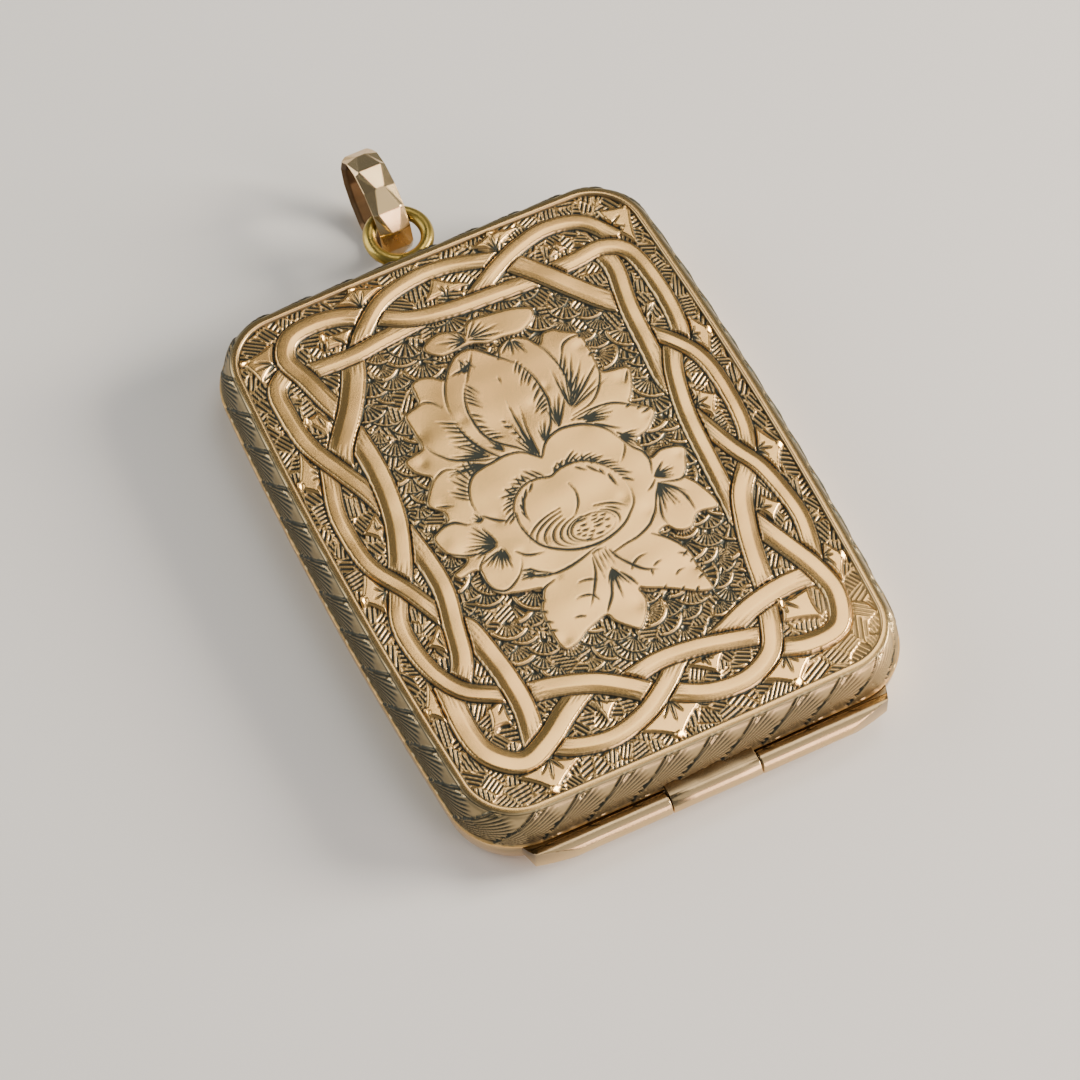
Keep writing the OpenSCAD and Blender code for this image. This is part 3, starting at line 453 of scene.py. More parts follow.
# Front cover, ribbon border
# Flat bands that pass over and under each other, left standing like the rose. A fine groove bounds
# each band, with a narrow bevel along one side and a wide one along the other.
# Columns: name, width, side of the wide bevel (1 left, -1 right), the ribbons over its two ends,
# middle line
ribbons = [
    ("top_left_loop", 1.1, 1, ("top_arc", "left_dive"),
     [(-4, 14.1), (-5.4, 14.8), (-7, 15.05), (-8.4, 14.75), (-9.15, 13.6), (-8.7, 12), (-8.25, 10.2),
      (-7.8, 8.8)]),
    ("top_left_bar", 1.0, -1, ("top_left_loop", "top_bar"),
     [(-8.8, 12.4), (-6, 12.27), (-4, 12.5), (-1.6, 12.75)]),
    ("left_shoulder", 1.05, 1, ("top_left_loop", "left_cross"),
     [(-9.1, 13.05), (-10.35, 12.1), (-10.55, 10.5), (-10.35, 8.2), (-9.5, 6), (-8.8, 4.3), (-8.3, 2.6)]),
    ("top_arc", 0.95, 1, ("top_right_loop", "top_left_bar"),
     [(4.2, 14.2), (3, 14.7), (1, 15.25), (-1, 15.28), (-3, 14.75), (-4.6, 13.5), (-5.55, 12.4)]),
    ("left_dive", 1.3, -1, ("top_left_bar", "left_shoulder"),
     [(-5.9, 12.3), (-6.45, 10.9), (-7.5, 9.15), (-8.9, 7.3), (-9.45, 6)]),
    ("left_bow", 0.95, 1, ("left_shoulder", "left_run"),
     [(-9.9, 6.8), (-10.75, 4), (-10.85, 2), (-10.6, 0), (-9.55, -2), (-8.7, -4), (-8.4, -4.6)]),
    ("left_cross", 1.25, -1, ("left_dive", "left_bow"),
     [(-7.95, 8.4), (-7.8, 6), (-7.9, 4), (-8.25, 2), (-8.95, 0), (-9.7, -1.5)]),
    ("left_run", 1.15, -1, ("left_cross", "left_hook"),
     [(-8.2, 1.6), (-7.85, -1), (-7.85, -3), (-8.3, -5), (-8.8, -7), (-9.7, -8.5)]),
    ("left_hook", 1.0, 1, ("left_bow", "left_drop"),
     [(-9.8, -1.6), (-10.65, -3.4), (-10.8, -5), (-10.45, -7), (-9.6, -8.6), (-8.3, -9.5),
      (-7.2, -10.05)]),
    ("left_drop", 1.25, -1, ("left_run", "bottom_left_loop"),
     [(-8.2, -5), (-7.7, -5.6), (-7.4, -7.3), (-7.2, -9), (-7.2, -11), (-7.7, -13.5)]),
    ("bottom_left_loop", 1.25, 1, ("left_hook", "bottom_rise"),
     [(-10.25, -7.9), (-10.4, -11), (-9.95, -12.7), (-8.6, -13.75), (-7, -13.2), (-5.4, -12.1),
      (-3.7, -11.1)]),
    ("bottom_rise", 1.2, 1, ("bottom_wave", "left_drop"),
     [(-0.7, -13.3), (-2, -12.15), (-3.5, -11.15), (-5.5, -10.45), (-7.2, -10.2)]),
    ("bottom_bar", 1.05, -1, ("bottom_rise", "bottom_arc"),
     [(-2.1, -11.95), (0, -11.52), (2, -11.65), (4, -12.1), (6.1, -12.7)]),
    ("bottom_wave", 1.05, 1, ("bottom_bar", "bottom_left_loop"),
     [(1.3, -11.7), (-0.2, -13), (-1.9, -14), (-4, -14.5), (-6, -14.05), (-7.3, -13.2)]),
    ("bottom_arc", 1.1, 1, ("right_foot", "bottom_wave"),
     [(6.8, -10.7), (6.3, -12.3), (5.5, -13.7), (3.8, -14.5), (1.8, -14.35), (0.2, -13.6),
      (-0.5, -13.1)]),
    ("right_foot", 1.2, 1, ("bottom_right_loop", "bottom_bar"),
     [(10, -10.5), (8, -10.45), (6, -10.8), (3.5, -11.75)]),
    ("bottom_right_loop", 1.15, -1, ("right_drop", "bottom_arc"),
     [(8.2, -5.8), (9.25, -8.3), (10, -10.3), (10.2, -12.1), (9.4, -13.8), (7.6, -14.05), (5.8, -13.5)]),
    ("right_drop", 1.15, 1, ("right_bow", "right_foot"),
     [(10, -2.9), (8.7, -4.5), (8, -6.3), (7.5, -8.2), (7.1, -10.4)]),
    ("right_bow", 0.95, 1, ("right_run", "bottom_right_loop"),
     [(8.5, 1.3), (9.55, -1.7), (10.4, -3.7), (10.8, -6.7), (10.5, -8.7), (10.1, -9.9)]),
    ("right_run", 1.05, -1, ("right_hook", "right_drop"),
     [(9.8, 5.6), (8.95, 3.7), (8.35, 1), (8.1, -2), (7.85, -5.7)]),
    ("right_hook", 0.9, 1, ("right_cross", "right_bow"),
     [(8.5, 7), (9.8, 5.65), (10.65, 4.2), (10.95, 2.2), (10.75, -0.8), (10, -2.8)]),
    ("right_cross", 1.1, -1, ("right_shoulder", "right_run"),
     [(8.9, 12.6), (9.15, 11.1), (8.7, 8.5), (8.47, 5.5), (8.35, 3.8), (8.6, 2.5)]),
    ("right_shoulder", 1.0, -1, ("right_dive", "right_hook"),
     [(5.6, 12.4), (7.5, 12.5), (9.2, 12.6), (10.4, 11.6), (10.75, 8.8), (10.55, 6.2), (10, 5.2)]),
    ("right_dive", 1.25, -1, ("top_right_loop", "right_cross"),
     [(4.1, 14.2), (5.4, 12.6), (6.6, 11), (7.8, 9.5), (8.7, 8.85)]),
    ("top_right_loop", 0.95, -1, ("top_bar", "right_shoulder"),
     [(1.4, 12.65), (3.5, 13.95), (5.2, 14.7), (7, 15.05), (8.9, 14.55), (10.2, 12.8)]),
    ("top_bar", 1.0, -1, ("top_arc", "right_dive"),
     [(-4.1, 14.2), (-2.2, 13.1), (0, 12.65), (2, 12.5), (4, 12.4), (5.5, 12.3)]),
]
groove_w, groove_d, bevel_w, bevel_d = 0.08, 0.06, 0.14, 0.05
wide_bevel, wide_bevel_d, crown_d = 0.72, 0.075, 0.015
# The last two values are how strongly painted shade darkens the ribbons' bevels.
by_groove_w, by_groove_painted_shade, wide_bevel_painted_shade = 0.12, 0.4, 0.15
line_of = {name: smooth_line(points, 30) for name, *_, points in ribbons}
width_of = {name: width for name, width, *_ in ribbons}
covers, reaches, offsets = {}, {}, {}
for name, width in width_of.items():
    where = window(line_of[name], 0.9)
    across, s, total = along(line_of[name], where)
    covers[name], reaches[name], offsets[name] = np.zeros(X.shape, bool), np.zeros(X.shape), np.zeros(X.shape)
    reaches[name][where] = np.minimum(s, total - s)
    offsets[name][where] = across
    covers[name][where] = (np.abs(across) < width / 2 + groove_w) & (s > 0) & (s < total)

# Where ribbons meet, the one that lies over shows, and else the one whose ends are further away.
uppermost, ribbon_of, ribbon_d = np.full(X.shape, -1.0), np.full(X.shape, -1), np.zeros(X.shape)
for k, (name, _, _, over_names, _) in enumerate(ribbons):
    seen = covers[name] & ~covers[over_names[0]] & ~covers[over_names[1]] & (reaches[name] > uppermost)
    uppermost = np.where(seen, reaches[name], uppermost)
    ribbon_of = np.where(seen, k, ribbon_of)
    ribbon_d = np.where(seen, offsets[name], ribbon_d)
on_ribbon = ribbon_of >= 0
half = np.array([width / 2 for _, width, *_ in ribbons])[ribbon_of]
wide_side = np.array([side for _, _, side, *_ in ribbons])[ribbon_of]
q = np.where(on_ribbon, half - np.abs(ribbon_d), -1)
slope = np.clip(1 - (half + wide_side * ribbon_d) / bevel_w, 0, 1)
wide_slope = np.clip(1 - (half - wide_side * ribbon_d) / (wide_bevel * half), 0, 1)
groove = np.clip(1 - np.abs(q + groove_w * 0.5) / (groove_w * 0.7), 0, 1)
band = -bevel_d * slope - wide_bevel_d * wide_slope - crown_d * (ribbon_d / half) ** 2
height = np.where(on_ribbon, np.where(q > 0, band, -ground_d - groove_d * groove), height)
cut = np.where(on_ribbon, np.clip(groove * 1.6, 0, 1), cut)
# Painted shade: the haze colour is laid on the ribbons' bevels, most of it by the groove and over the wide
# bevel.
bevel_painted_shade = by_groove_painted_shade * np.clip(1.3 - q / by_groove_w, 0, 1) + wide_bevel_painted_shade * wide_slope
bevel_painted_shade = np.where(on_ribbon & (q > 0), bevel_painted_shade, 0)

# Fine shade lines where a ribbon dives under another, in lanes of different lengths.
lane_w, lane_line, lane_edge, lane_tone = 0.16, 0.22, 0.08, 0.7
lane_reaches = np.array([0.64, 0.28, 0.88, 0.4, 0.76, 0.32, 0.56])
for k, (name, _, _, over_names, _) in enumerate(ribbons):
    own = (ribbon_of == k) & (q > lane_edge)
    where = window(line_of[name], 0.4)
    for over_name in over_names:
        away, s, total = along(line_of[over_name], where)
        past_end = np.clip(-s, 0, None) + np.clip(s - total, 0, None)
        away = np.hypot(away, past_end) - width_of[over_name] / 2 - groove_w
        lane = ribbon_d[where] / lane_w
        lane_id = np.round(lane).astype(int)
        line = np.clip(1 - np.abs(lane - lane_id) / lane_line, 0, 1) * (away > -0.05)
        line *= np.clip(1 - away / lane_reaches[lane_id % len(lane_reaches)], 0, 1)
        cut[where] = np.maximum(cut[where], np.where(own[where], np.clip(line * 1.3, 0, lane_tone), 0))

# Front cover, thorns and plain leaves
# Small pointed leaves left standing along the outer side of the border and in its cells, with hollow
# sides, a few short cuts from the root, and a bright nick across the outermost tips.
# Columns: tip, foot, notch, foot, tips of the cuts
thorns = [
    ((-4.1, 16.12), (-5.4, 15.5), (-4.15, 14.9), (-2.5, 15.5),
     [(-4.6, 15.6), (-4.15, 15.9), (-3.7, 15.7)]),
    ((4.2, 16.12), (2.8, 15.6), (3.95, 15), (5.6, 15.75), [(3.55, 15.6), (4.05, 15.95), (4.5, 15.7)]),
    ((-11.4, 14.4), (-10.9, 12.8), (-9.9, 13.6), (-9.4, 14.8),
     [(-10.8, 14.1), (-10.3, 13.2), (-10.9, 13.6)]),
    ((11.7, 14.4), (9.9, 14.8), (10, 13.5), (10.95, 12), [(10.9, 14), (10.1, 14.3), (10.9, 13.2)]),
    ((-11.95, 6), (-10.9, 4.9), (-10.5, 6.15), (-10.95, 8), [(-11.1, 6.15), (-11.1, 5.5), (-10.95, 6.7)]),
    ((-11.95, -1.7), (-11, -2.9), (-10.6, -1.7), (-11, 0.1),
     [(-11.3, -1.8), (-11.1, -1.2), (-11.1, -2.3)]),
    ((-11.9, -9.1), (-10.95, -10.2), (-10.6, -9), (-11, -7.4),
     [(-11.2, -9), (-11.1, -8.5), (-11.1, -9.6)]),
    ((-7.9, -16.05), (-6, -14.8), (-7.4, -14.2), (-9.3, -14.5),
     [(-8.2, -14.9), (-7.8, -15.45), (-7, -15.1)]),
    ((-0.8, -16.05), (1, -14.6), (-0.4, -13.9), (-2.6, -14.9),
     [(-1.2, -14.8), (-0.65, -15.25), (-0.05, -14.85)]),
    ((6, -16), (7.2, -14.8), (6.1, -14.15), (4.3, -14.9), [(5.6, -14.9), (6, -15.35), (6.6, -14.9)]),
    ((11.95, 5.3), (11.2, 6.7), (10.85, 5.4), (11.1, 3.5), [(11.2, 5.8), (11.3, 5.25), (11.1, 4.8)]),
    ((11.95, -2.8), (11.2, -1.3), (10.6, -2.5), (11, -4.3), [(11.2, -2.3), (11.45, -2.8), (11, -3.2)]),
    ((11.7, -10.2), (11.1, -9.1), (10.6, -9.8), (10.9, -11.5), [(11.2, -10), (11, -10.7), (11.25, -9.6)]),
]
# Leaves in the border's cells. Columns: outline, root of the cuts, tips of the cuts
patches = [
    ([(0, 14.8), (-0.9, 13.6), (1.6, 13.65)], (0.3, 13.3), [(0.1, 14.2), (0.5, 14)]),
    ([(-6.9, 14), (-5.2, 13.8), (-5.8, 13.1), (-6.9, 13.2)], (-6.4, 13.7), [(-5.8, 12.9)]),
    ([(6.2, 13.2), (7, 14), (7.4, 13.4)], (6.9, 13.3), [(6.7, 13.8)]),
    ([(-9.9, 9.6), (-9, 9.8), (-8.7, 9), (-9.2, 8.2)], (-9.2, 9.5), [(-9.1, 8.7)]),
    ([(-9, 2.9), (-10.1, 2), (-9.4, 1.2), (-8.95, 1.9)], (-9.4, 1.9), [(-9, 1.95), (-9.3, 2.5)]),
    ([(-9, -4.6), (-10, -5.6), (-9.3, -6.3), (-8.9, -5.3)], (-9.4, -5.4), [(-9.1, -5.1), (-9.3, -6)]),
    ([(-8.9, -10.3), (-8.1, -9.9), (-8, -10.6), (-8.2, -11.5), (-9.2, -11.4)], (-8, -10.2),
     [(-8.6, -10.8), (-8.2, -11.2)]),
    ([(-4, -12.1), (-3.7, -13.5), (-2.9, -12.7)], (-3.6, -12.1), [(-3.75, -12.9), (-3.3, -12.7)]),
    ([(1.3, -12.5), (3.4, -12.5), (2.6, -13.5)], (2.3, -12.3),
     [(2.1, -12.8), (2.4, -13.1), (2.75, -12.75)]),
    ([(7.3, -11.3), (9, -11.2), (8.9, -13), (7, -12.4)], (7.4, -11.3),
     [(7.4, -12.1), (8.1, -12.1), (8.3, -11.4)]),
    ([(9.1, 7.3), (9.7, 8.3), (10.1, 8.2)], (9.4, 7.7), [(9.9, 8.1)]),
    ([(9.3, 2.4), (10.3, 1.5), (9.6, 0.3), (9.1, 0.9)], (9.1, 1.4), [(9.8, 1.5), (9.6, 0.8), (9.5, 2)]),
    ([(9.5, -5.1), (10.2, -6), (9.4, -6.7), (9, -5.8)], (9.1, -5.8), [(9.7, -6), (9.5, -5.4)]),
]
leaf_hollow, leaf_edge_w, leaf_edge_d, leaf_cut_w, leaf_edge_tone = 0.45, 0.08, 0.05, 0.1, 0.8
# Nicks: how far out the tips have them, and their place, size, slope and depth.
nick_beyond, nick_end_y, nick_in, nick_l, nick_w = 11.5, 14, 0.12, 0.3, 0.16
nick_slope_x, nick_slope_y, nick_d, nick_low, nick_high = -0.5, 0.59, 0.05, -0.16, 0.03
for edge_points, root, tips in [(thorn[:4], thorn[2], thorn[4]) for thorn in thorns] + patches:
    corners = np.array(edge_points, float)
    middle = corners.mean(0)
    hollow = []
    for here, there in zip(corners, np.roll(corners, -1, 0)):
        for t in (0, 0.25, 0.5, 0.75):
            spot = here + (there - here) * t
            hollow.append(spot + (middle - spot) * leaf_hollow * t * (1 - t))
    where = window(hollow, 0.2)
    q_leaf = inside(np.array(hollow), where)
    own = (q_leaf > -edge_cut_w) & ~on_ribbon[where] & (inset[where] > strip_w + 0.02)
    fall = leaf_edge_d * np.clip(1 - q_leaf / leaf_edge_w, 0, 1)
    edge = leaf_edge_tone * np.clip(1 - (q_leaf + edge_spread) / edge_cut_w, 0, 1)
    height[where] = np.where(own, top_level - fall, height[where])
    cut[where] = np.where(own, edge, cut[where])
    for tip in tips:
        engrave([root, (np.array(root) + tip) / 2, tip], leaf_cut_w, 0.4, ~on_ribbon)
    if len(corners) == 4 and np.hypot(*corners[0]) > nick_beyond:
        nick = corners[0] + nick_in * (middle - corners[0])
        where = window([nick], 0.6)
        off_x, off_y = X[where] - nick[0], Y[where] - nick[1]
        lengthwise, crosswise = (off_x, off_y) if abs(nick[1]) > nick_end_y else (off_y, off_x)
        far = (lengthwise / nick_l) ** 2 + (crosswise / nick_w) ** 2
        facet = np.clip(nick_slope_x * off_x + nick_slope_y * off_y - nick_d, nick_low, nick_high)
        height[where] = np.where(far < 1, facet, height[where])
        cut[where] *= np.clip(far - 0.6, 0, 1)

# Front cover, wear and the depth of the cuts
# A fine line is cut along the inside of the strip. Years of wear have rounded every edge, left the
# gold slightly wavy, and rubbed down the lower right corner, where the cuts are now shallow; the
# lighter colour there is partly that wear and partly a painted highlight.
bright_corner_c, bright_corner_r = (11.2, -14.2), 4.5
corner_wear_and_light_fade, line_wear_and_light_fade, line_in, line_w = 0.62, 0.6, 0.06, 0.05
deep_cut, hair_cut, ground_lift, cut_core, cut_spread = 0.11, 0.03, 0.05, 0.75, 0.4
wave_count, wave_height, wave_lengths = 14, 0.0023, (1.8, 5.5)


def corner_wear_and_light(x, y):
    """How far the lower right corner has lost its cuts to wear and is lit by a painted highlight, from 0 to
    1.
    """
    return np.clip(1.2 - np.hypot(x - bright_corner_c[0], y - bright_corner_c[1]) / bright_corner_r, 0, 1)


def soften(values, times=1):
    """Each point takes half of its neighbours, as burnishing does to an edge."""
    for _ in range(times):
        for axis in (0, 1):
            ends = np.take(values, [0], axis), values, np.take(values, [-1], axis)
            padded, n = np.concatenate(ends, axis), values.shape[axis]
            values = (np.take(padded, range(n), axis) + 2 * values
                      + np.take(padded, range(2, n + 2), axis)) / 4
    return values


# Wear and painted highlight: the cuts and the line by the strip fade towards the lower right corner, so it is
# lighter and shallower there.
cut = cut * (1 - corner_wear_and_light_fade * corner_wear_and_light(X, Y))
edge_line = np.clip(1 - np.abs(inset - strip_w - line_in) / line_w, 0, 1) * (1 - line_wear_and_light_fade * corner_wear_and_light(X, Y))
cut = np.maximum(cut * (inset > strip_w + 0.04), edge_line)
height = np.where(inset < strip_w + 0.08, -ground_d, height)
waves = np.zeros(X.shape)
for _ in range(wave_count):
    wave_l, wave_a = dice.uniform(*wave_lengths), dice.uniform(0, math.pi)
    phase = (X * np.cos(wave_a) + Y * np.sin(wave_a)) / wave_l
    waves += wave_height * np.sin(2 * math.pi * phase + dice.uniform(0, 2 * math.pi))
raised = rose | on_ribbon
height = soften(height + np.where(raised, 0, ground_lift)) + waves
height -= np.where(raised, hair_cut, deep_cut) * soften(cut)
# The haze is tarnish haze beside the cuts, with the painted shade of the ribbons' bevels laid over it.
haze_and_painted_light = np.maximum(soften(cut, 4), bevel_painted_shade)
cut = np.clip(cut_core * cut + cut_spread * soften(cut), 0, 1)

# Front cover, its engraved face
# The drawing above as metal, on a grid of 0.05 mm. The face is made in four meshes that share their
# edge points, and its edge runs on under the plain strip.
under_strip = 0.14


def linear(colour):
    """An sRGB hex colour as linear red, green, blue and alpha."""
    parts = [int(colour[k:k + 2], 16) / 255 for k in (1, 3, 5)]
    return [c / 12.92 if c <= 0.04045 else ((c + 0.055) / 1.055) ** 2.4 for c in parts] + [1.0]


def bare_finish(name):
    """A material with an empty node tree."""
    finish = bpy.data.materials.new(name)
    finish.use_nodes = True
    finish.node_tree.nodes.clear()
    return finish, finish.node_tree


def add(tree, kind, inputs=None, **settings):
    """Adds a node with its settings, input values and links."""
    made = tree.nodes.new(kind)
    for key, value in settings.items():
        setattr(made, key, value)
    for key, value in (inputs or {}).items():
        if isinstance(value, bpy.types.NodeSocket):
            tree.links.new(value, made.inputs[key])
        else:
            made.inputs[key].default_value = value
    return made


# Hand-engraved 9 carat rose gold: pale and satin on the high parts, with slow changes of tone and
# a fine grain from handling. Grey-green haze lies beside the cuts and near-black tarnish in them. The
# haze colour is also painted shade on the ribbons' bevels, and less haze and tarnish on the walls that
# face the front and on the lower right corner is painted light.
# A mix of two colours takes them at inputs 6 and 7 and gives the result at output 2.
engraved_gold, tree = bare_finish("engraved_rose_gold")
tone_size, grain_size, grain_d = 6.25, 1 / 9, 0.02
place = add(tree, "ShaderNodeTexCoord").outputs["Object"]
cut_in = add(tree, "ShaderNodeAttribute", attribute_name="cut").outputs["Fac"]
haze_and_light_in = add(tree, "ShaderNodeAttribute", attribute_name="haze_and_painted_light").outputs["Fac"]
cloud = add(tree, "ShaderNodeTexNoise", {"Vector": place, "Scale": 1 / (tone_size * MM), "Detail": 3.0,
                                         "Roughness": 0.6})
grain = add(tree, "ShaderNodeTexNoise", {"Vector": place, "Scale": 1 / (grain_size * MM), "Detail": 4.0,
                                         "Roughness": 0.7})
base = add(tree, "ShaderNodeMix", {"Factor": cloud.outputs["Fac"], 6: linear("#E4BA72"),
                                   7: linear("#CFA061")}, data_type="RGBA")
haze_and_light_share = add(tree, "ShaderNodeMapRange", {"Value": haze_and_light_in, "From Min": 0.05, "From Max": 0.75, "To Max": 0.5})
haze_and_light_mix = add(tree, "ShaderNodeMix", {"Factor": haze_and_light_share.outputs[0], 6: base.outputs[2], 7: linear("#6F7E72")},
           data_type="RGBA")
deep = add(tree, "ShaderNodeMapRange", {"Value": cut_in, "From Min": 0.2, "From Max": 0.75})
dark = add(tree, "ShaderNodeMix", {"Factor": grain.outputs["Fac"], 6: linear("#1E211C"),
                                   7: linear("#3A3D32")}, data_type="RGBA")
colour = add(tree, "ShaderNodeMix", {"Factor": deep.outputs[0], 6: haze_and_light_mix.outputs[2], 7: dark.outputs[2]},
             data_type="RGBA")
rough = add(tree, "ShaderNodeMapRange", {"Value": cut_in, "To Min": 0.26, "To Max": 0.55})
metal = add(tree, "ShaderNodeMapRange", {"Value": cut_in, "To Min": 1.0, "To Max": 0.55})
handled = add(tree, "ShaderNodeBump", {"Height": grain.outputs["Fac"], "Strength": 0.12,
                                       "Distance": grain_d * MM})
shader = add(tree, "ShaderNodeBsdfPrincipled", {"Base Color": colour.outputs[2], "Metallic": metal.outputs[0],
                                                "Roughness": rough.outputs[0],
                                                "Normal": handled.outputs[0]})
add(tree, "ShaderNodeOutputMaterial", {"Surface": shader.outputs[0]})


def new_piece(mesh, *materials):
    """Puts a mesh with its materials in the scene, under its own name."""
    for material in materials:
        mesh.materials.append(material)
    piece = bpy.data.objects.new(mesh.name, mesh)
    bpy.context.scene.collection.objects.link(piece)
    return piece


def surface(name, points, faces, material, values=None, normals=None):
    """A piece from points in millimetres and faces of four corners."""
    mesh = bpy.data.meshes.new(name)
    mesh.vertices.add(len(points))
    mesh.vertices.foreach_set("co", (points * MM).astype(np.float32).ravel())
    mesh.loops.add(faces.size)
    mesh.loops.foreach_set("vertex_index", faces.astype(np.int32).ravel())
    mesh.polygons.add(len(faces))
    mesh.polygons.foreach_set("loop_start", np.arange(0, faces.size, faces.shape[1], dtype=np.int32))
    mesh.update(calc_edges=True)
    mesh.polygons.foreach_set("use_smooth", np.ones(len(faces), bool))
    for key, data in (values or {}).items():
        mesh.attributes.new(key, "FLOAT", "POINT").data.foreach_set("value", data.astype(np.float32))
    if normals is not None:
        mesh.normals_split_custom_set_from_vertices(normals)
    return new_piece(mesh, material)


def fasten(piece, body, node):
    """Says what carries a piece, and hides the solid that it stands for."""
    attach(piece, body)
    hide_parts(node)


slope_y, slope_x = np.gradient(height, grid_step)
grid_normals = np.stack([-slope_x, -slope_y, np.ones(X.shape)], -1)
grid_normals /= np.linalg.norm(grid_normals, axis=-1, keepdims=True)
mid_row, mid_column = len(grid_y) // 2, len(grid_x) // 2
rows_of = {"lower": (0, mid_row), "upper": (mid_row, len(grid_y) - 1)}
columns_of = {"left": (0, mid_column), "right": (mid_column, len(grid_x) - 1)}
for level, (i0, i1) in rows_of.items():
    for side, (j0, j1) in columns_of.items():
        part = (slice(i0, i1 + 1), slice(j0, j1 + 1))
        ids = np.arange(X[part].size).reshape(X[part].shape)
        faces = np.stack([ids[:-1, :-1], ids[:-1, 1:], ids[1:, 1:], ids[1:, :-1]], -1).reshape(-1, 4)
        faces = faces[(inset[part].ravel()[faces] > under_strip).all(1)]
        used, index = np.unique(faces, return_inverse=True)
        points = np.stack([X[part].ravel(), Y[part].ravel(), face_z + height[part].ravel()], 1)[used]
        values = {"cut": cut[part].ravel()[used], "haze_and_painted_light": haze_and_painted_light[part].ravel()[used]}
        piece = surface(f"face_{level}_{side}", points, index.reshape(-1, 4), engraved_gold, values,
                        grid_normals[part].reshape(-1, 3)[used])
        fasten(piece, "front", "front_cover")

# Front cover, strip and walls
# The same sheet turned down over the edge: a plain strip round the face, then convex walls that
# are cut all round with wheat, each leaf a fan of fine lines that runs up from the seam.
front_h, seam_gap, wall_swell, wall_step = 2.45, 0.04, 0.72, 0.06
seam_z = face_z - front_h
plain_edge, plain_edge_rise, plain_edge_haze = 0.14, 0.03, 0.1
# Columns: inset from the rim, height, cut, haze
strip_rows = [(strip_w + 0.07, -0.26, 0.6, 1.0), (strip_w + 0.03, -0.06, 0.4, 1.0),
              (strip_w, -0.018, 0.05, 0.5), (strip_w - 0.05, 0.0, 0.0, 0.3), (0.2, -0.004, 0.0, 0.3),
              (0.12, -0.015, 0.0, 0.3), (0.05, -0.032, 0.0, 0.3)]
leaves, leaf_lean = 45, 0.92
# Fine lines: degrees apart near the root and beyond, and where they start and end.
near_pitch, far_pitch, near_root, line_bare, line_crisp = 6.6, 4.4, 2, 0.35, 3
line_start, line_start_w, line_end, line_end_w = 0.3, 0.3, 4.3, 0.6
spine_w, rim_shade_at, rim_shade_w = 0.12, 0.12, 0.06
foot_low, foot_lean, foot_l, foot_w = 0.3, 0.5, 1.1, 0.1
wedge_start, wedge_l, wedge_top, wedge_w = 0.35, 0.55, 0.18, 0.32
leaf_d, line_d, spine_d, foot_d, wedge_d = 0.13, 0.06, 0.08, 0.07, 0.12
# The second value in each of these two rows is how much painted light lightens the front-facing and lower
# right walls.
wall_tone, wall_light_tone, line_tone, rim_shade_tone = 0.46, 0.22, 0.5, 0.4
wall_haze, wall_light_haze, foot_haze = 0.95, 0.2, 0.7
edge_wear, edge_wear_w, cut_fade, rise_fade, seam_fade = 0.05, 0.2, 0.1, 0.25, 0.1
# The hinge's knuckles, which the walls leave room for.
hinge_x, hinge_l, knuckle_r, knuckle_gap = 0.15, 15.5, 0.62, 0.08
hinge_out, hinge_drop = 0.58, 0.25
slope_l, slope_in, seat_in = 2.4, 0.65, 1.1
axis_y, axis_z = -(half_l + wall_swell + hinge_out), seam_z - hinge_drop
knuckle_l, seat_l = hinge_l / 3, slope_l + 0.4
inner_knuckle_l = knuckle_l - knuckle_gap
outer_knuckle_l = inner_knuckle_l + seat_l
outer_rooms = [(hinge_x + side * (knuckle_l + seat_l / 2), outer_knuckle_l) for side in (-1, 1)]


def outline(spacing):
    """Points round the rim, and the directions outwards from them."""
    points, outwards = [], []
    for centre, r, a0, a1 in ((side_c, side_r, 0, side_a), (corner_c, corner_r, side_a, end_a),
                              (end_c, end_r, end_a, math.pi / 2)):
        a = np.linspace(a0, a1, max(3, round(r * (a1 - a0) / spacing)), endpoint=False)
        n = np.stack([np.cos(a), np.sin(a)], 1)
        points.append(centre + r * n)
        outwards.append(n)
    loops = []
    for quarter, side, end in ((np.concatenate(points), [half_w, 0], [0, half_l]),
                               (np.concatenate(outwards), [1, 0], [0, 1])):
        back = quarter[:0:-1]
        loops.append(np.concatenate([quarter, [end], back * [-1, 1], np.multiply([side], -1), -quarter[1:],
                                     np.multiply([end], -1), back * [1, -1]]))
    return loops


def loft_faces(rings, round_n):
    """Faces between rings of points; the rings follow each other outwards, seen from outside."""
    i = np.arange(round_n)
    j = (i + 1) % round_n
    return np.concatenate([np.stack([k * round_n + i, (k + 1) * round_n + i,
                                     (k + 1) * round_n + j, k * round_n + j], 1) for k in range(rings - 1)])


def clear_of_knuckle(points, x, length):
    """Points pushed back out of the room that a knuckle needs."""
    room = knuckle_r + knuckle_gap
    near = np.abs(points[:, 0] - x) < length / 2 + knuckle_gap
    off = points[:, 1:] - [axis_y, axis_z]
    r = np.hypot(off[:, 0], off[:, 1])
    push = near & (r < room) & (off[:, 0] > 0)
    points[push, 1:] = [axis_y, axis_z] + off[push] * (room / r[push])[:, None]
    return points


rim_p, rim_n = outline(wall_step)
around = len(rim_p)
mid_wall = rim_p + rim_n * 0.5
run = np.r_[0, np.cumsum(np.hypot(*np.diff(mid_wall, axis=0).T))]
leaf_l = (run[-1] + math.dist(mid_wall[-1], mid_wall[0])) / leaves
bend = np.radians(np.linspace(0, 90, 400))
bend_drop, bend_out = (front_h - seam_gap) * (1 - np.cos(bend)), wall_swell * np.sin(bend)
bend_len = np.r_[0, np.cumsum(np.hypot(np.diff(bend_drop), np.diff(bend_out)))]
from_rim = np.linspace(0, bend_len[-1], round(bend_len[-1] / wall_step) + 1)
drop, out = np.interp(from_rim, bend_len, bend_drop), np.interp(from_rim, bend_len, bend_out)
face_out = np.stack([np.gradient(drop, from_rim), np.gradient(out, from_rim)], 1)
face_out /= np.linalg.norm(face_out, axis=1)[:, None]

